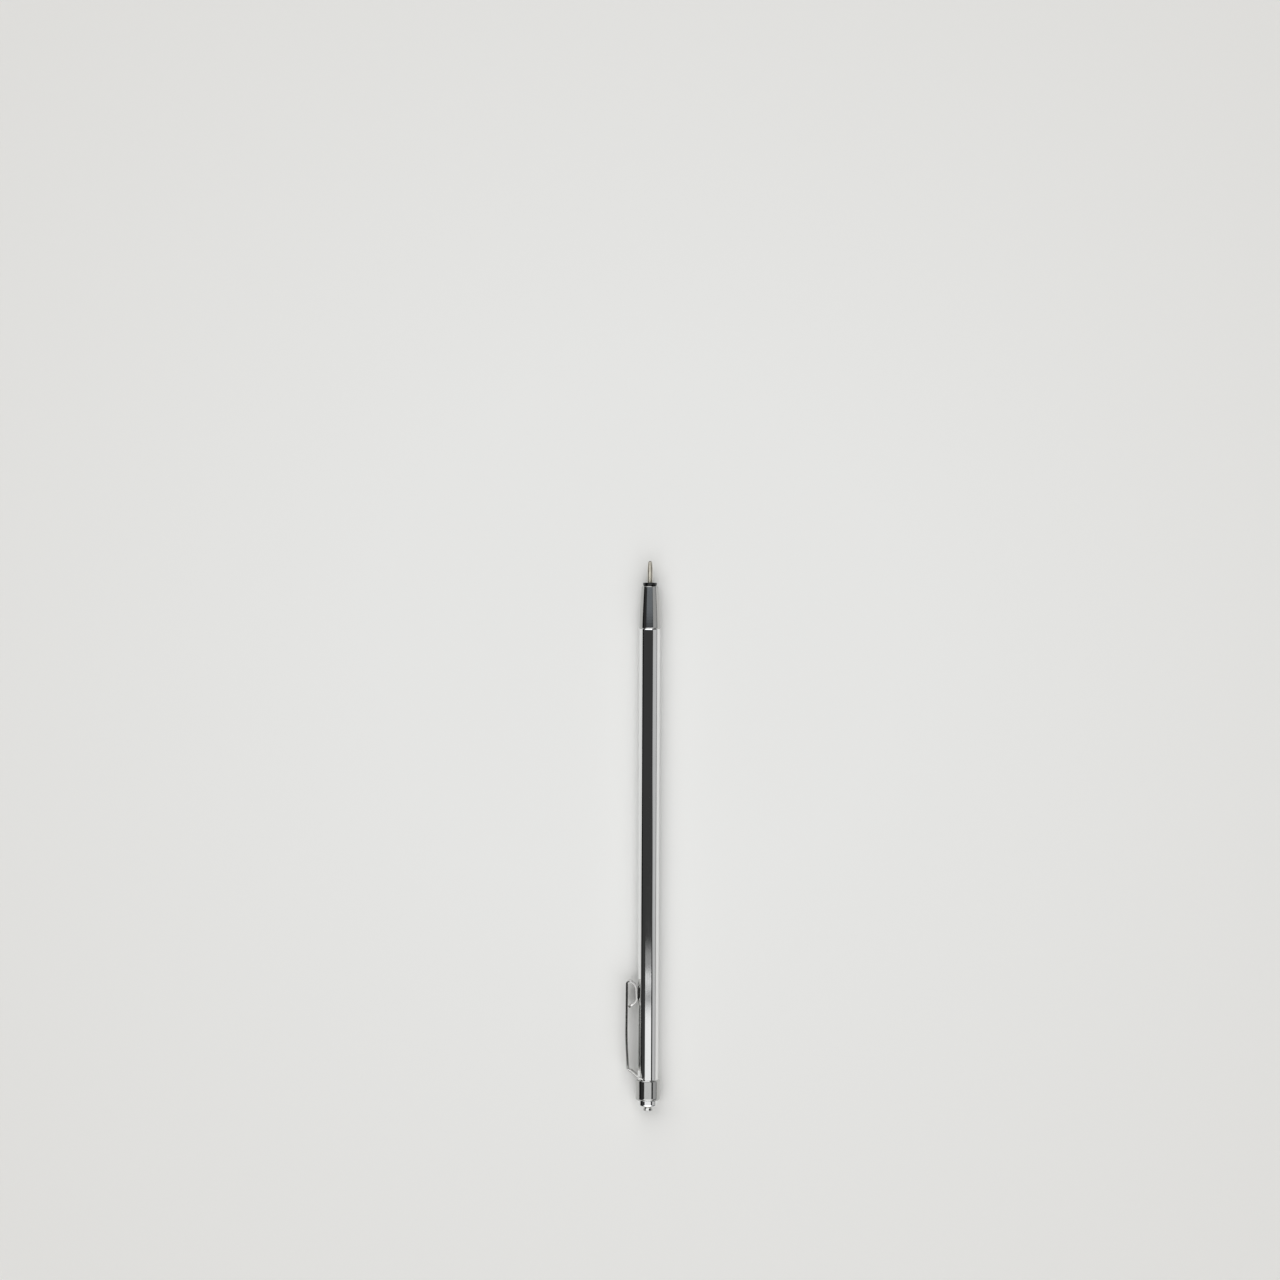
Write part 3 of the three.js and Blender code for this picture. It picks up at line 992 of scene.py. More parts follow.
@dataclass(frozen=True)
class Barrel:
    """The drawn tube, with two slots at its rear for the clip's legs."""

    front: float = Nose.cone_base
    rear: float = 93.1
    radius: float = 1.8
    bore: float = 1.55
    lead_length: float = 0.3
    lead_depth: float = 0.09
    lead_rows: tuple[float, ...] = (0, 0.03, 0.08, 0.16, 0.28, 0.44, 0.65, 1)
    run_rows: int = 40
    run_guards: tuple[float, float] = (0.04, 0.05)
    slot_front: float = 89.07
    slot_half_width: float = 0.42
    slot_rows: int = 12
    leg_angle: float = 60.0
    columns: int = 144
    column_room: float = 0.3

    def stations(self) -> np.ndarray:
        """Give the stations of the tube's rows, close together in the rounded lead-in.

        Returns:
            The stations, from the front.
        """
        lead = self.front + self.lead_length * np.array(self.lead_rows)
        run_front = self.front + self.lead_length + self.run_guards[0]
        run = np.linspace(run_front, self.slot_front - self.run_guards[1], self.run_rows)
        slot = np.linspace(self.slot_front, self.rear, self.slot_rows)
        return np.concatenate([lead, run, slot])

    def angles(self) -> np.ndarray:
        """Give the angles of the tube's columns, with one at each edge of both slots.

        An even column that lies nearer to an edge than its room, as a share of the even
        spacing, is left out.

        Returns:
            The angles, from the smallest.
        """
        half = math.asin(self.slot_half_width / self.radius)
        leg = math.radians(self.leg_angle)
        edges = [math.pi + side * leg + way * half for side in (-1, 1) for way in (-1, 1)]
        even = np.arange(self.columns) * FULL_TURN / self.columns
        room = np.abs(even[:, None] - np.array(edges)[None]).min(axis=1)
        return np.sort(np.concatenate([even[room > self.column_room * even[1]], edges]))

    def build_tube(self, axis: PenAxis) -> bpy.types.Object:
        """Make the tube.

        The skin's radius is the tube's, less the lead-in's depth times one less the square root
        of one less the square of the share of the lead-in that is still ahead. The skin and the
        bore are one closed grid, with the bore's rows after the skin's and in turned order, so
        that row i of the skin lies over row 2 n - 1 - i. The cells in both slots are left out,
        and walls from the skin to the bore close them.

        Args:
            axis: The pen's axis.

        Returns:
            The tube.
        """
        station = self.stations()
        angle = self.angles()
        ahead = np.clip((self.front + self.lead_length - station) / self.lead_length, 0, 1)
        skin = self.radius - self.lead_depth * (1 - np.sqrt(1 - ahead**2))
        bore = np.full_like(station, self.bore)
        radius = np.concatenate([skin, bore[::-1]])[:, None]
        along = np.concatenate([station, station[::-1]])[:, None]
        points = axis.place(radius * np.cos(angle), along, radius * np.sin(angle))
        measures = (
            np.append(along[:, 0], along[0, 0]),
            np.append(angle, FULL_TURN + angle[0]) * self.radius,
        )
        in_slot = self.slot_cells(station, angle)
        walls = self.slot_walls(in_slot[: len(station) - 1])
        kept = ~in_slot.ravel()
        grid = Grid(points, measures, rows_closed=True, kept=kept, walls=walls)
        return make_mesh("barrel_dressed", grid)

    def slot_cells(self, station: np.ndarray, angle: np.ndarray) -> np.ndarray:
        """Find the quads of the tube's grid that lie in a slot.

        Args:
            station: The stations of the skin's rows.
            angle: The angles of the columns.

        Returns:
            One yes or no for each quad, in rows and columns.
        """
        middle = angle + np.diff(np.append(angle, FULL_TURN + angle[0])) / 2
        leg = math.radians(self.leg_angle)
        half = math.asin(self.slot_half_width / self.radius)
        off_leg = np.minimum(np.abs(middle - math.pi - leg), np.abs(middle - math.pi + leg))
        both = np.concatenate([station, station[::-1]])
        row_middle = (both + np.roll(both, -1)) / 2
        return (row_middle > self.slot_front)[:, None] & (off_leg < half)[None]

    def slot_walls(self, in_slot: np.ndarray) -> np.ndarray:
        """Join the skin to the bore round each slot.

        Args:
            in_slot: Which of the skin's quads lie in a slot, in rows and columns.

        Returns:
            Four point numbers for each quad: along both sides of each slot and at its front.
        """
        rows, columns = in_slot.shape[0] + 1, in_slot.shape[1]
        walls = []
        for step in (0, 1):
            beside = np.roll(in_slot, 1 - 2 * step, axis=1)
            row, column = np.nonzero(in_slot & ~beside)
            column = (column + step) % columns
            corners = (row, row + 1, 2 * rows - 2 - row, 2 * rows - 1 - row)
            walls.append(np.stack([corner * columns + column for corner in corners], axis=1))
        ahead = np.concatenate([np.zeros_like(in_slot[:1]), in_slot[:-1]])
        row, column = np.nonzero(in_slot & ~ahead)
        skin, bore = row * columns, (2 * rows - 1 - row) * columns
        beyond = (column + 1) % columns
        walls.append(np.stack([skin + column, skin + beyond, bore + beyond, bore + column], axis=1))
        return np.concatenate(walls)

    def build(self, axis: PenAxis, shop: Workshop) -> None:
        """Make and dress the tube.

        Args:
            axis: The pen's axis.
            shop: Where pieces are dressed.
        """
        tube = self.build_tube(axis)
        shop.fit(tube, POLISHED_ALUMINIUM, "barrel", "barrel_tube")


@dataclass(frozen=True)
class Tail:
    """The sleeve over the clip's legs and the bush whose ring ends the pen."""

    sleeve_front: float = 89.6
    sleeve_rear: float = Barrel.rear
    sleeve_radius: float = 2.12
    sleeve_bore: float = 1.82
    sleeve_rounding: float = 0.26
    sleeve_rows_apart: float = 0.4
    keyway_radius: float = 1.976
    keyway_half_width: float = Barrel.slot_half_width
    keyway_rear: float = 92.6
    front_face_depth: float = 0.1
    leg_angle: float = Barrel.leg_angle
    ring_rear: float = 94.2
    ring_radius: float = 1.815
    ring_front_rounding: float = 0.14
    ring_rear_rounding: float = 0.3
    plug_front: float = 86.9
    plug_radius: float = 1.53
    plug_rounding: float = 0.1
    plug_land_rear: float = 88.7
    waist_radius: float = 1.345
    rear_land: float = 92.7
    rod_bore: float = 0.68
    sink_radius: float = 0.87
    sink_rounding: float = 0.03
    chamber_radius: float = 1.0
    chamber_rear: float = 87.84
    columns: int = 144

    def keyways(self, profile: np.ndarray) -> np.ndarray:
        """Work out the two keyways in the sleeve's bore as a negative relief.

        Where a column lies within half a keyway of a leg, the rows of the bore and those within
        the front face's depth step out to the keyway's radius.

        Args:
            profile: Radius and station of each row of the sleeve.

        Returns:
            How much lower the surface lies at each row and column.
        """
        radius, station = profile[:, :1], profile[:, 1:]
        angle = np.arange(self.columns)[None] * FULL_TURN / self.columns
        leg = math.radians(self.leg_angle)
        off_leg = np.minimum(np.abs(angle - math.pi - leg), np.abs(angle - math.pi + leg))
        half = math.asin(self.keyway_half_width / self.keyway_radius)
        in_key = (off_leg < half) & (station < self.keyway_rear)
        inside = radius < self.keyway_radius
        near_front = station < self.sleeve_front + self.front_face_depth
        bore = np.isclose(radius, self.sleeve_bore) | (inside & near_front)
        return np.where(in_key & bore & inside, radius - self.keyway_radius, 0.0)

    def build_sleeve(self, axis: PenAxis) -> bpy.types.Object:
        """Make the sleeve, with both rims rounded over.

        Args:
            axis: The pen's axis.

        Returns:
            The sleeve.
        """
        rounding = self.sleeve_rounding
        line = rounded_line(
            [
                Corner((self.sleeve_bore, self.sleeve_front)),
                Corner((self.sleeve_radius, self.sleeve_front), rounding),
                Corner((self.sleeve_radius, self.sleeve_rear), rounding),
                Corner((self.sleeve_bore, self.sleeve_rear)),
            ],
            closed=True,
        )
        profile = held_line(line, closed=True, reach=self.sleeve_rows_apart)
        grid = turned(axis, profile, self.columns, closed=True, relief=self.keyways(profile))
        return make_mesh("clip_sleeve_dressed", grid)

    def build_bush(self, axis: PenAxis) -> bpy.types.Object:
        """Make the end ring and the plug that it carries inside the barrel.

        Args:
            axis: The pen's axis.

        Returns:
            The ring with its plug.
        """
        line = rounded_line(
            [
                Corner((self.chamber_radius, self.plug_front)),
                Corner((self.plug_radius, self.plug_front), self.plug_rounding),
                Corner((self.plug_radius, self.plug_land_rear)),
                Corner((self.waist_radius, self.plug_land_rear)),
                Corner((self.waist_radius, self.rear_land)),
                Corner((self.plug_radius, self.rear_land)),
                Corner((self.plug_radius, self.sleeve_rear)),
                Corner((self.ring_radius, self.sleeve_rear), self.ring_front_rounding),
                Corner((self.ring_radius, self.ring_rear), self.ring_rear_rounding),
                Corner((self.sink_radius, self.ring_rear), self.sink_rounding),
                Corner((self.rod_bore, self.ring_rear - self.sink_radius + self.rod_bore)),
                Corner((self.rod_bore, self.chamber_rear)),
                Corner((self.chamber_radius, self.chamber_rear)),
            ],
            closed=True,
        )
        return make_mesh(
            "end_ring", turned(axis, held_line(line, closed=True), self.columns, closed=True)
        )

    def build(self, axis: PenAxis, shop: Workshop) -> None:
        """Make and dress the tail.

        Args:
            axis: The pen's axis.
            shop: Where pieces are dressed.
        """
        sleeve = self.build_sleeve(axis)
        shop.fit(sleeve, CHROME_PLATE, "barrel", "clip_sleeve")
        shop.fit(self.build_bush(axis), POLISHED_ALUMINIUM, "barrel", "tail_bush")
        shop.dress_node("detent_keeper", TURNED_BRASS)
        shop.dress_node("detent_ring", SNAP_RING_WIRE)


@dataclass(frozen=True)
class Clip:
    """The spring clip: a strip folded under at its free end, with a round leg at each root edge."""

    thickness: float = 0.42
    root_half_width: float = 1.28
    end_half_width: float = 0.9
    edge_rounding: float = 0.1
    edge_guard: float = 0.02
    sleeve_front: float = Tail.sleeve_front
    leg_rear: float = 92.5
    length: float = 17.45
    shoulder_height: float = 3.47
    bow_height: float = 3.74
    bow_radius: float = 60.0
    top_height: float = 3.67
    top_radius: float = 0.45
    knee_height: float = 2.13
    knee_setback: float = 1.1
    knee_radius: float = 1.2
    belly_height: float = 2.02
    belly_setback: float = 3.8
    belly_radius: float = 1.0
    end_height: float = 3.37
    end_setback: float = 4.96
    end_fullness: float = 0.97
    crossing: float = 0.72
    root_run: float = 1.52
    bend_radius: float = 0.35
    leg_angle: float = Barrel.leg_angle
    leg_circle: float = 1.66
    leg_splay: float = 1.5
    leg_lap: float = 0.6
    leg_sides: int = 32
    spacing: float = 0.03

    def leg_height(self) -> float:
        """Give the height of the legs' ends towards the clip, from the pen's axis."""
        return self.leg_circle * math.cos(math.radians(self.leg_angle))

    def shoulder(self) -> float:
        """Give the station where the strip turns down to the sleeve."""
        return self.sleeve_front - self.thickness - self.root_run

    def spread(self, line: np.ndarray) -> tuple[np.ndarray, np.ndarray]:
        """Lay points evenly along a line.

        Args:
            line: The line's points.

        Returns:
            The even points, and how far along the line each one lies.
        """
        steps = np.linalg.norm(np.diff(line, axis=0), axis=1)
        run = np.concatenate([[0], np.cumsum(steps)])
        length = np.linspace(0, run[-1], math.ceil(run[-1] / self.spacing) + 1)
        columns = [np.interp(length, run, line[:, k]) for k in range(line.shape[1])]
        return np.stack(columns, axis=1), length

    def strip_line(self) -> tuple[np.ndarray, np.ndarray]:
        """Draw the strip in the side view, from behind its shoulder to its free end.

        The bow's corner lies a third of the way from the shoulder to the top.

        Returns:
            Points of station and height over the pen's axis, and how far along each one lies.
        """
        top = self.sleeve_front - self.length
        shoulder = np.array([self.shoulder(), self.shoulder_height])
        root = np.array([self.sleeve_front - self.thickness, self.leg_height() + self.crossing])
        start = shoulder + (root - shoulder) * self.leg_lap / np.linalg.norm(root - shoulder)
        bow = (2 * self.shoulder() + top) / 3
        line = rounded_line(
            [
                Corner(tuple(start)),
                Corner(tuple(shoulder), self.bend_radius),
                Corner((bow, self.bow_height), self.bow_radius),
                Corner((top, self.top_height), self.top_radius),
                Corner((top + self.knee_setback, self.knee_height), self.knee_radius),
                Corner((top + self.belly_setback, self.belly_height), self.belly_radius),
                Corner((top + self.end_setback, self.end_height)),
            ],
            steps=24,
        )
        return self.spread(line)

    def half_widths(self, length: np.ndarray) -> np.ndarray:
        """Give the strip's half width at each point of its line.

        It tapers evenly from the root to the end. Over the last half width before the end, it is
        the taper times the square root of one less the square of the share of that stretch which
        has been passed, times the fullness.

        Args:
            length: How far along the strip each point lies.

        Returns:
            The half widths, in millimetres.
        """
        left = length[-1] - length
        narrowing = self.end_half_width - self.root_half_width
        taper = self.root_half_width + narrowing * length / length[-1]
        passed = np.clip(1 - left / self.end_half_width, 0, 1) * self.end_fullness
        return taper * np.sqrt(1 - passed**2)

    def strip(self, axis: PenAxis) -> Grid:
        """Carry the strip's section along its line.

        The section is a rectangle with rounded corners. A point of the skin is the line's point
        plus the section's place across the thickness times the direction square to the line, and
        the section's place across the width moves out or in with the half width. The first and
        the last row lie in the middle of the strip, which closes it.

        Args:
            axis: The pen's axis.

        Returns:
            The strip's surface.
        """
        line, length = self.strip_line()
        ahead = np.gradient(line, axis=0)
        ahead /= np.linalg.norm(ahead, axis=1, keepdims=True)
        thick, wide = self.thickness / 2, self.root_half_width
        places = [(thick, -wide), (thick, wide), (-thick, wide), (-thick, -wide)]
        corners = [Corner(place, self.edge_rounding) for place in places]
        outline = rounded_line(corners, closed=True, steps=10)
        section = held_line(outline, closed=True, guard=self.edge_guard)
        reach, side = section[:, 0], section[:, 1]
        station = line[:, :1] - ahead[:, 1:] * reach
        height = line[:, 1:] + ahead[:, :1] * reach
        widening = self.half_widths(length)[:, None] - wide
        skin = axis.place(-height, station, side + np.sign(side) * widening)
        ends = axis.place(-line[[0, -1], 1:], line[[0, -1], :1], np.zeros(len(section)))
        points = np.concatenate([ends[:1], skin, ends[1:]])
        ring = np.concatenate([section, section[:1]])
        around = np.concatenate([[0], np.cumsum(np.linalg.norm(np.diff(ring, axis=0), axis=1))])
        return Grid(points, (np.concatenate([[0], length, length[-1:]]), around))

    def leg(self, axis: PenAxis, side: int) -> Grid:
        """Carry a round section along one leg.

        A point of the skin is the line's point plus the leg's radius times (cos a times the
        direction square to the leg and to the strip's width + sin a times the direction square
        to those two). The first and the last row lie on the line, which closes the leg.

        Args:
            axis: The pen's axis.
            side: 1 for the upper leg and -1 for the lower one.

        Returns:
            The leg's surface.
        """
        radius = self.thickness / 2
        offset = side * self.leg_circle * math.sin(math.radians(self.leg_angle))
        root = side * (self.root_half_width - radius)
        height, front = self.leg_height(), self.sleeve_front
        line, length = self.spread(
            rounded_line(
                [
                    Corner((self.leg_rear, height, offset)),
                    Corner((front - radius, height, offset), self.bend_radius),
                    Corner(
                        (front - self.thickness, height + self.crossing, side * self.leg_splay),
                        radius,
                    ),
                    Corner((self.shoulder(), self.shoulder_height, root), self.bend_radius),
                    Corner((self.shoulder() - self.leg_lap, self.shoulder_height, root)),
                ],
                steps=16,
            )
        )
        ahead = np.gradient(line, axis=0)
        square = np.cross(ahead, [0.0, 0.0, 1.0])
        square /= np.linalg.norm(square, axis=1, keepdims=True)
        sideways = np.cross(square, ahead)
        sideways /= np.linalg.norm(sideways, axis=1, keepdims=True)
        angle = np.arange(self.leg_sides) * FULL_TURN / self.leg_sides
        arms = square[:, None] * np.cos(angle)[:, None] + sideways[:, None] * np.sin(angle)[:, None]
        skin = line[:, None] + arms * radius
        ends = np.repeat(line[[0, -1], None], self.leg_sides, axis=1)
        rows = np.concatenate([ends[:1], skin, ends[1:]])
        points = axis.place(-rows[..., 1], rows[..., 0], rows[..., 2])
        around = np.arange(self.leg_sides + 1) * FULL_TURN / self.leg_sides * radius
        return Grid(points, (np.concatenate([[0], length, length[-1:]]), around))

    def build(self, axis: PenAxis, shop: Workshop) -> None:
        """Make and dress the clip.

        Args:
            axis: The pen's axis.
            shop: Where pieces are dressed.
        """
        grids = (self.strip(axis), self.leg(axis, 1), self.leg(axis, -1))
        clip = make_mesh("clip_strip_dressed", *grids)
        shop.fit(clip, SPRING_STRIP, "clip", "clip_strip")


@dataclass(frozen=True)
class Plunger:
    """The button, the rod behind it and the refill that they push."""

    rod_front: float = 68.1
    rod_shoulder: float = 82.45
    rod_collar: float = 0.95
    rod_collar_rounding: float = 0.1
    rod_radius: float = 0.63
    rod_rear_rounding: float = 0.02
    groove_bottom: float = 0.51
    groove_half: float = 0.17
    groove_slope: float = 0.12
    groove_rounding: float = 0.04
    grooves: tuple[float, float] = (83.27, 87.67)
    button_front: float = 94.4
    button_front_rounding: float = 0.04
    button_rear: float = 95.05
    button_front_radius: float = 0.66
    button_radius: float = 0.82
    button_rounding: float = 0.05
    button_dome: float = 0.16
    dome_corners: int = 12
    tang_radius: float = 0.35
    tang_length: float = 0.4
    tang_room: float = 0.02
    needle_rear: float = 10.88
    needle_radius: float = 0.425
    needle_bore: float = 0.3
    needle_bore_front: float = 1.02
    needle_bore_rounding: float = 0.05
    throat_radius: float = 0.125
    throat_front: float = 0.54
    lip_station: float = 0.12
    lip_wall: float = 0.06
    lip_rounding: float = 0.02
    cup_rear: float = 0.45
    cup_corners: int = 9
    taper_length: float = 1.0
    taper_rounding: float = 0.9
    ball_radius: float = 0.25
    ball_room: float = 0.02
    ball_rows: int = 33
    ball_columns: int = 48
    columns: int = 80

    def build_rod(self, axis: PenAxis) -> bpy.types.Object:
        """Make the rod, with its two snap grooves and the tang that holds the button.

        Args:
            axis: The pen's axis.

        Returns:
            The rod.
        """
        corners = [
            Corner((0.0, self.rod_front)),
            Corner((self.rod_collar, self.rod_front), self.rod_collar_rounding),
            Corner((self.rod_collar, self.rod_shoulder), self.rod_collar_rounding),
            Corner((self.rod_radius, self.rod_shoulder)),
        ]
        outer = self.groove_half + self.groove_slope
        for middle in self.grooves:
            groove = [
                (self.rod_radius, middle - outer),
                (self.groove_bottom, middle - self.groove_half),
                (self.groove_bottom, middle + self.groove_half),
                (self.rod_radius, middle + outer),
            ]
            corners += [Corner(place, self.groove_rounding) for place in groove]
        tang_rear = self.button_front + self.tang_length
        corners += [
            Corner((self.rod_radius, self.button_front), self.rod_rear_rounding),
            Corner((self.tang_radius, self.button_front)),
            Corner((self.tang_radius, tang_rear)),
            Corner((0.0, tang_rear)),
        ]
        profile = held_line(rounded_line(corners, steps=5), closed=False)
        return make_mesh("push_rod_dressed", turned(axis, profile, self.columns, closed=False))

    def build_button(self, axis: PenAxis) -> bpy.types.Object:
        """Make the flared head, which rounds over to a shallow dome.

        A point of the dome at turn t lies at the head's radius times cos t, and the dome's
        height times sin t behind the flare.

        Args:
            axis: The pen's axis.

        Returns:
            The head.
        """
        turn = np.linspace(0, math.pi / 2, self.dome_corners + 1)[1:]
        dome_start = self.button_rear - self.button_dome
        dome = [
            Corner((self.button_radius * math.cos(t), dome_start + self.button_dome * math.sin(t)))
            for t in turn
        ]
        socket = self.tang_radius + self.tang_room
        socket_rear = self.button_front + self.tang_length + self.tang_room
        line = rounded_line(
            [
                Corner((0.0, socket_rear)),
                Corner((socket, socket_rear)),
                Corner((socket, self.button_front)),
                Corner((self.button_front_radius, self.button_front), self.button_front_rounding),
                Corner((self.button_radius, dome_start), self.button_rounding),
                *dome,
            ],
            steps=6,
        )
        profile = held_line(line, closed=False)
        return make_mesh("push_button_dressed", turned(axis, profile, self.columns, closed=False))

    def socket_radius(self, station: float) -> float:
        """Give the radius of the ball's socket at a station, with room round the ball."""
        room = self.ball_radius + self.ball_room
        return math.sqrt(room**2 - (self.ball_radius - station) ** 2)

    def build_needle(self, axis: PenAxis) -> bpy.types.Object:
        """Make the needle: a bored tube, drawn in to a thin lip round the ball.

        Args:
            axis: The pen's axis.

        Returns:
            The needle.
        """
        lip = self.socket_radius(self.lip_station)
        station = np.linspace(self.lip_station, self.cup_rear, self.cup_corners)
        cup = [Corner((self.socket_radius(float(s)), float(s))) for s in station[::-1]]
        taper_rear = self.lip_station + self.taper_length
        line = rounded_line(
            [
                Corner((lip + self.lip_wall, self.lip_station), self.lip_rounding),
                Corner((self.needle_radius, taper_rear), self.taper_rounding),
                Corner((self.needle_radius, self.needle_rear)),
                Corner((self.needle_bore, self.needle_rear)),
                Corner((self.needle_bore, self.needle_bore_front), self.needle_bore_rounding),
                Corner((self.throat_radius, self.throat_front)),
                *cup,
            ],
            closed=True,
            steps=10,
        )
        profile = held_line(line, closed=True)
        return make_mesh("needle_dressed", turned(axis, profile, self.columns, closed=True))

    def build_ball(self, axis: PenAxis) -> bpy.types.Object:
        """Make the writing ball, with its poles on the line that it rolls about.

        A point at turn t and angle a lies at radius times cos t across, sin t cos a behind the
        ball's middle and sin t sin a up.

        Args:
            axis: The pen's axis.

        Returns:
            The ball.
        """
        turn = np.linspace(0, math.pi, self.ball_rows)[:, None]
        angle = np.arange(self.ball_columns)[None] * FULL_TURN / self.ball_columns
        across = self.ball_radius * np.cos(turn)
        out = self.ball_radius * np.sin(turn)
        points = axis.place(across, self.ball_radius + out * np.cos(angle), out * np.sin(angle))
        measures = (turn[:, 0] * self.ball_radius, np.append(angle[0], FULL_TURN) * self.ball_radius)
        return make_mesh("writing_ball_dressed", Grid(points, measures))

    def build(self, axis: PenAxis, shop: Workshop) -> None:
        """Make and dress the plunger and the refill.

        Args:
            axis: The pen's axis.
            shop: Where pieces are dressed.
        """
        rod, button = self.build_rod(axis), self.build_button(axis)
        needle, ball = self.build_needle(axis), self.build_ball(axis)
        shop.fit(rod, TURNED_STAINLESS, "plunger", "push_rod")
        shop.fit(button, CHROME_PLATE, "plunger", "push_button")
        shop.fit(needle, TURNED_STAINLESS, "plunger", "needle_tube")
        shop.fit(ball, TUNGSTEN_CARBIDE, "ball", "writing_ball")
        shop.dress_node("refill_carrier", WHITE_ACETAL)
        shop.dress_node("refill_tube", DRAWN_BRASS)
        shop.dress_node("needle_holder", TURNED_NICKEL_SILVER)
        shop.dress_node("ink_column", PASTE_INK)


# Studio


@dataclass(frozen=True)
class LightPanel:
    """A lit cloth in the studio, given by the directions that it fills from the table.

    Attributes:
        name: Where it hangs.
        across: Its edges as turns about the pen's long axis, from straight up towards +X, in
            degrees.
        along: Its edges as slopes towards +Y, in degrees.
        level: Its brightness, where a whole sky of 1 lights a white card to white.
        colour: Its tint.
        edge_across: How softly its edges across fade, in degrees.
        edge_along: How softly its edges along fade, in degrees.
    """

    name: str
    across: tuple[float, float]
    along: tuple[float, float]
    level: float
    colour: str = "#FFFFFF"
    edge_across: float = 3.0
    edge_along: float = 2.0


@dataclass(frozen=True)
class Studio:
    """A white board under a dark room with lit cloths, and the camera straight above it.

    Attributes:
        lens: The camera's focal length, in millimetres.
        sensor: The width of its sensor, in millimetres.
        frame_width: The width of the picture at the height of the pen's axis, in millimetres.
        view_x: The place across the board that the camera hangs over, in millimetres.
        view_y: The place along the board that it hangs over, in millimetres.
        roll: The camera's turn about the line that it looks along, in degrees.
        board_half: Half the board's width, in millimetres.
        board_colour: The board's colour in the middle.
        board_falloff_shade_colour: Its colour further out, a painted shade that stands in for
            the studio light falling off away from the camera.
        board_falloff_shade_span: Where the painted shade starts to give way to the middle's colour
            and where it has taken over, as distances from the point under the camera, in millimetres.
        board_roughness: The board's roughness.
        board_index: Its refractive index.
        tooth_size: The spacing of its tooth, in millimetres.
        tooth_depth: The height of its tooth, in millimetres.
        backdrop: The colour of the backdrop past the board.
        backdrop_rise: How high the backdrop stands in mirrored views, in degrees.
        backdrop_fade: How softly its upper edge fades, in degrees.
        strength: The room's brightness, as a share.
        ceiling: The edges of the lighter ceiling, as turns about the pen's axis, in degrees.
        ceiling_fade: How softly both edges fade, in degrees.
        ceiling_level: The ceiling's brightness.
        wall_level: The brightness of the walls beside it.
        panels: The lit cloths, each hung in front of those before it.
    """

    lens: float = 100.0
    sensor: float = 36.0
    frame_width: float = 221.2
    view_x: float = -0.777
    view_y: float = 33.85
    roll: float = 0.25
    board_half: float = 1600.0
    board_colour: str = "#EDEDEB"
    board_falloff_shade_colour: str = "#E6E5E2"
    board_falloff_shade_span: tuple[float, float] = (45.0, 150.0)
    board_roughness: float = 0.55
    board_index: float = 1.45
    tooth_size: float = 0.4
    tooth_depth: float = 0.004
    backdrop: str = "#E3E3E1"
    backdrop_rise: float = 1.2
    backdrop_fade: float = 0.6
    strength: float = 1.0
    ceiling: tuple[float, float] = (-72.0, 46.0)
    ceiling_fade: float = 4.0
    ceiling_level: float = 0.04
    wall_level: float = 0.004
    # The cloths' edges are the directions that the polished tube mirrors where a tone ends on it.
    panels: tuple[LightPanel, ...] = (
        LightPanel("hem above the tail", (-34, 34), (-6, -4.95), 0.27, edge_across=1.2, edge_along=0.06),
        LightPanel("fold above the tail", (-34, 34), (-5.58, -5.36), 0.9, edge_across=1.2, edge_along=0.07),
        LightPanel("above the tail", (-34, 34), (-12, -5.88), 0.9, edge_across=1.2, edge_along=0.14),
        LightPanel("gap at the tail", (34, 50), (-12, -5), 0.004, edge_across=0.5, edge_along=0.3),
        LightPanel("beyond the tail", (-48, 52), (-78, -11), 1.6, edge_across=6, edge_along=3),
        LightPanel("above the tip", (-39, 34), (5.5, 12), 0.26, "#EEF6FF", edge_along=1.5),
        LightPanel("beyond the tip", (-58, 28), (12, 78), 1.6, edge_across=6, edge_along=3),
        LightPanel("at the right", (37, 83.5), (-2.6, 14), 0.5, edge_across=1.5, edge_along=1.2),
        LightPanel("right of the tail", (43.5, 83.5), (-5.2, -1.6), 0.5, edge_across=1.5, edge_along=1),
        LightPanel("right of the rear", (48.5, 83.5), (-14, -4.4), 0.5, edge_across=1.5, edge_along=1),
    )

    def window(
        self,
        tree: bpy.types.NodeTree,
        angle: bpy.types.NodeSocket,
        edges: tuple[float, float],
        fade: float,
    ) -> bpy.types.NodeSocket:
        """Let a range of angles through.

        Args:
            tree: The world's nodes.
            angle: The angle, in radians.
            edges: The range, in degrees.
            fade: How softly both edges fade, in degrees.

        Returns:
            A socket that is 1 inside the range and 0 outside it.
        """
        ends = []
        for edge, low, high in ((edges[0], 0.0, 1.0), (edges[1], 1.0, 0.0)):
            step = add_node(
                tree,
                "ShaderNodeMapRange",
                settings={"interpolation_type": "SMOOTHSTEP"},
                values={
                    "From Min": math.radians(edge - fade),
                    "From Max": math.radians(edge + fade),
                    "To Min": low,
                    "To Max": high,
                },
                links={"Value": angle},
            )
            ends.append(step.outputs["Result"])
        both = add_node(
            tree,
            "ShaderNodeMath",
            settings={"operation": "MULTIPLY"},
            links={0: ends[0], 1: ends[1]},
        )
        return both.outputs["Value"]

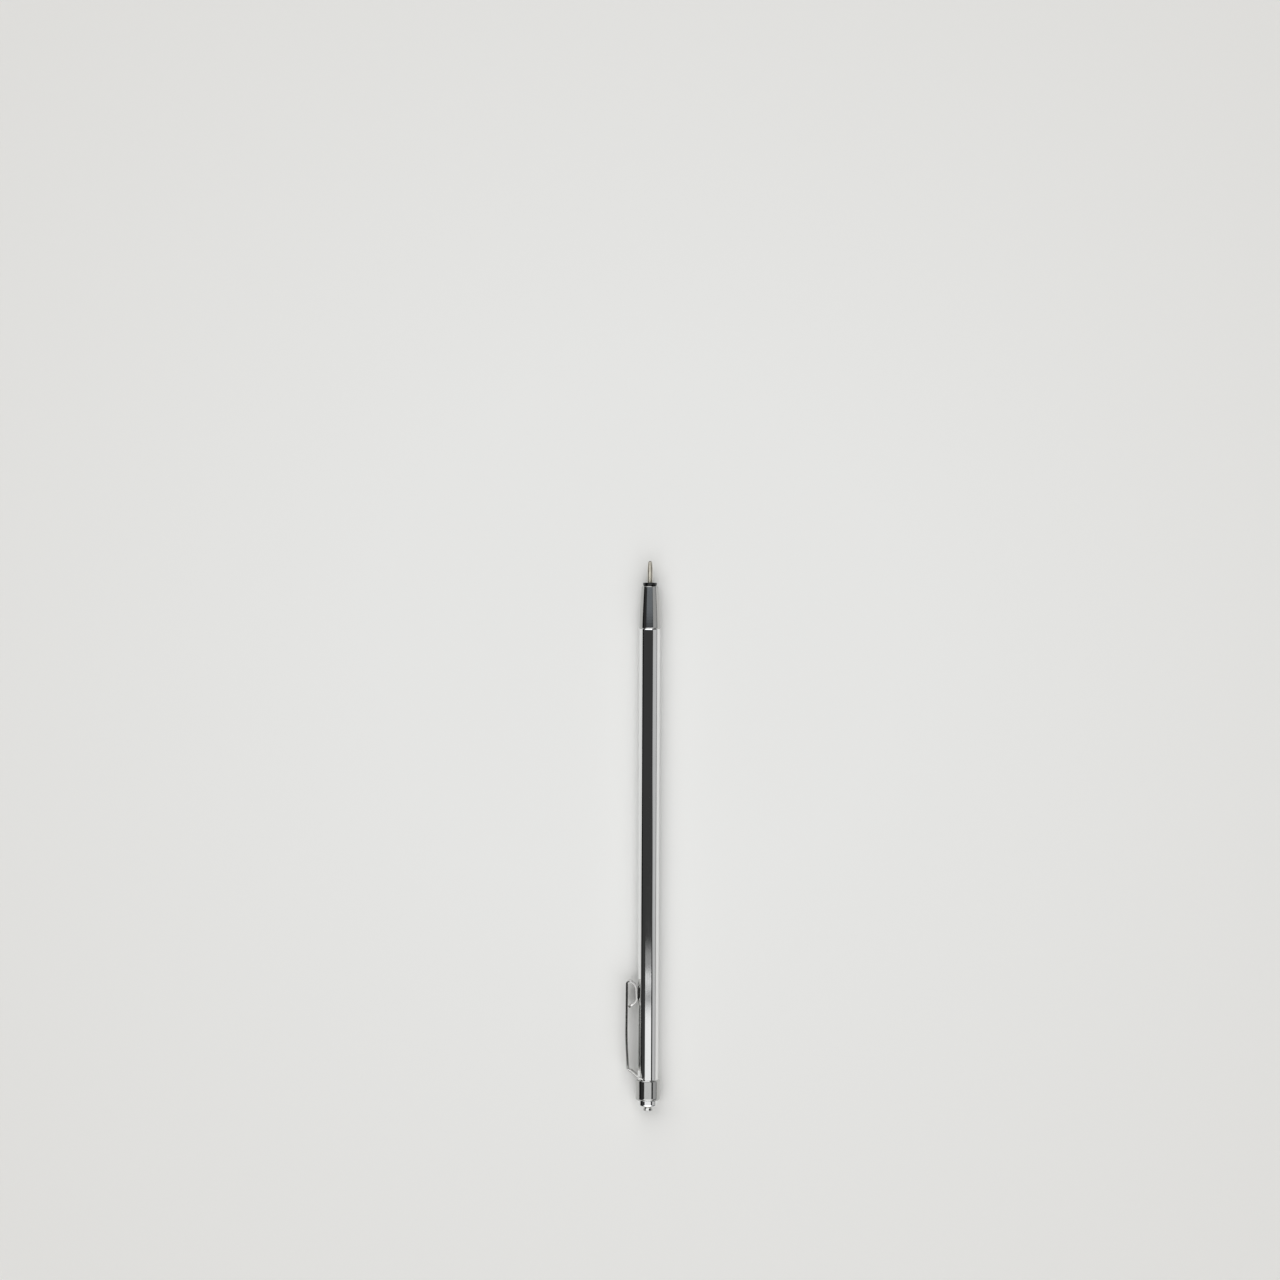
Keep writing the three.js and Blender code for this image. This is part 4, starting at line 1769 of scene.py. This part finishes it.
    def light_room(self) -> None:
        """Light the table from the room: a dark ceiling with lit cloths, given by direction.

        A direction's turn about the pen's axis is the angle whose tangent is x over z, and its
        slope is the angle whose sine is y. Past the board lies a plain pale backdrop.
        """
        world = bpy.data.worlds.new("dark_room_with_lit_cloths")
        bpy.context.scene.world = world
        world.use_nodes = True
        tree = world.node_tree
        tree.nodes.clear()
        place = add_node(tree, "ShaderNodeTexCoord")
        parts = add_node(
            tree, "ShaderNodeSeparateXYZ", links={"Vector": place.outputs["Generated"]}
        )
        turn = add_node(
            tree,
            "ShaderNodeMath",
            settings={"operation": "ARCTAN2"},
            links={0: parts.outputs["X"], 1: parts.outputs["Z"]},
        ).outputs["Value"]
        slope = add_node(
            tree,
            "ShaderNodeMath",
            settings={"operation": "ARCSINE"},
            links={0: parts.outputs["Y"]},
        ).outputs["Value"]
        shade = add_node(
            tree,
            "ShaderNodeMix",
            settings={"data_type": "RGBA"},
            values={"A": (self.wall_level,) * 3 + (1,), "B": (self.ceiling_level,) * 3 + (1,)},
            links={"Factor": self.window(tree, turn, self.ceiling, self.ceiling_fade)},
        ).outputs["Result"]
        for panel in self.panels:
            across = self.window(tree, turn, panel.across, panel.edge_across)
            along = self.window(tree, slope, panel.along, panel.edge_along)
            share = add_node(
                tree,
                "ShaderNodeMath",
                settings={"operation": "MULTIPLY"},
                links={0: across, 1: along},
            ).outputs["Value"]
            lit = tuple(panel.level * part for part in srgb(panel.colour)[:3]) + (1.0,)
            shade = add_node(
                tree,
                "ShaderNodeMix",
                settings={"data_type": "RGBA", "clamp_result": False},
                values={"B": lit},
                links={"Factor": share, "A": shade},
            ).outputs["Result"]
        room = add_node(
            tree,
            "ShaderNodeBackground",
            values={"Strength": self.strength},
            links={"Color": shade},
        )
        backdrop = add_node(
            tree,
            "ShaderNodeBackground",
            values={"Color": srgb(self.backdrop), "Strength": 1.0},
        )
        seen = add_node(
            tree,
            "ShaderNodeMixShader",
            links={
                0: self.backdrop_share(tree, parts.outputs["Z"]),
                1: room.outputs["Background"],
                2: backdrop.outputs["Background"],
            },
        )
        add_node(tree, "ShaderNodeOutputWorld", links={"Surface": seen.outputs["Shader"]})

    def backdrop_share(
        self, tree: bpy.types.NodeTree, rise: bpy.types.NodeSocket
    ) -> bpy.types.NodeSocket:
        """Show the backdrop to the camera, and low down to metal and glass as well.

        Args:
            tree: The world's nodes.
            rise: How steeply a direction climbs, as the sine of the angle.

        Returns:
            A socket that is 1 where the backdrop is seen and 0 where the room is.
        """
        path = add_node(tree, "ShaderNodeLightPath")
        mirrored = add_node(
            tree,
            "ShaderNodeMath",
            settings={"operation": "MAXIMUM"},
            links={0: path.outputs["Is Glossy Ray"], 1: path.outputs["Is Transmission Ray"]},
        )
        low = add_node(
            tree,
            "ShaderNodeMapRange",
            settings={"interpolation_type": "SMOOTHSTEP"},
            values={
                "From Min": math.sin(math.radians(self.backdrop_rise - self.backdrop_fade)),
                "From Max": math.sin(math.radians(self.backdrop_rise + self.backdrop_fade)),
                "To Min": 1.0,
                "To Max": 0.0,
            },
            links={"Value": rise},
        )
        shown = add_node(
            tree,
            "ShaderNodeMath",
            settings={"operation": "MULTIPLY"},
            links={0: mirrored.outputs["Value"], 1: low.outputs["Result"]},
        )
        both = add_node(
            tree,
            "ShaderNodeMath",
            settings={"operation": "MAXIMUM"},
            links={0: path.outputs["Is Camera Ray"], 1: shown.outputs["Value"]},
        )
        return both.outputs["Value"]

    def board_material(self) -> bpy.types.Material:
        """Build the white board: coated card with a fine tooth, and painted shade that darkens it a
        little far out, in place of the studio light falling off.

        Returns:
            The material.
        """
        material, tree = empty_material("coated_card_white")
        place = add_node(tree, "ShaderNodeTexCoord").outputs["Object"]
        distance = add_node(
            tree,
            "ShaderNodeVectorMath",
            settings={"operation": "DISTANCE"},
            values={1: (self.view_x * MM, self.view_y * MM, 0)},
            links={0: place},
        ).outputs["Value"]
        # Painted shade: the board's colour darkens with distance from the point under the camera, standing
        # in for the light's falloff.
        outwards = add_node(
            tree,
            "ShaderNodeMapRange",
            values={"From Min": self.board_falloff_shade_span[0] * MM, "From Max": self.board_falloff_shade_span[1] * MM},
            links={"Value": distance},
        ).outputs["Result"]
        colour = add_node(
            tree,
            "ShaderNodeMix",
            settings={"data_type": "RGBA"},
            values={"A": srgb(self.board_colour), "B": srgb(self.board_falloff_shade_colour)},
            links={"Factor": outwards},
        ).outputs["Result"]
        tooth = add_node(
            tree,
            "ShaderNodeTexNoise",
            values={"Scale": 1 / (self.tooth_size * MM), "Detail": 3.0},
            links={"Vector": place},
        ).outputs["Fac"]
        bump = add_node(
            tree,
            "ShaderNodeBump",
            values={"Strength": 1.0, "Distance": self.tooth_depth * MM},
            links={"Height": tooth},
        ).outputs["Normal"]
        shader = add_node(
            tree,
            "ShaderNodeBsdfPrincipled",
            values={"Roughness": self.board_roughness, "IOR": self.board_index},
            links={"Base Color": colour, "Normal": bump},
        )
        add_node(
            tree, "ShaderNodeOutputMaterial", links={"Surface": shader.outputs["BSDF"]}
        )
        return material

    def lay_board(self) -> None:
        """Lay the board that the pen lies on."""
        reach = np.array([-self.board_half, 0, self.board_half]) * MM
        x, y = np.meshgrid(reach, reach, indexing="ij")
        points = np.stack([x, y, np.zeros_like(x)], axis=-1)
        numbers, _ = Grid(points, (reach, reach), columns_closed=False).faces()
        mesh = bpy.data.meshes.new("white_board")
        mesh.from_pydata(points.reshape(-1, 3).tolist(), [], numbers[:, ::-1].tolist())
        mesh.materials.append(self.board_material())
        board = bpy.data.objects.new("white_board", mesh)
        bpy.context.scene.collection.objects.link(board)

    def set_camera(self, axis: PenAxis) -> None:
        """Hang the camera straight above the board, at the height that gives the frame's width.

        Args:
            axis: The pen's axis, whose height the frame's width is measured at.
        """
        data = bpy.data.cameras.new("camera_above")
        data.lens = self.lens
        data.sensor_width = self.sensor
        data.dof.use_dof = False
        camera = bpy.data.objects.new("camera_above", data)
        bpy.context.scene.collection.objects.link(camera)
        height = self.frame_width * self.lens / self.sensor * MM
        camera.location = (self.view_x * MM, self.view_y * MM, axis.z + height)
        camera.rotation_euler = (0, 0, math.radians(self.roll))
        bpy.context.scene.camera = camera

    def build(self, axis: PenAxis) -> None:
        """Set up the board, the light and the camera.

        Args:
            axis: The pen's axis.
        """
        self.lay_board()
        self.light_room()
        self.set_camera(axis)
        bpy.context.scene.view_settings.view_transform = "Standard"


def main() -> None:
    """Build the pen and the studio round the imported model."""
    logging.basicConfig(level=logging.INFO, format="%(name)s: %(message)s")
    axis = PenAxis.from_frame()
    shop = Workshop()
    for part in (Nose(), Barrel(), Tail(), Clip(), Plunger()):
        part.build(axis, shop)
    Studio().build(axis)


if __name__ == "__main__":
    main()
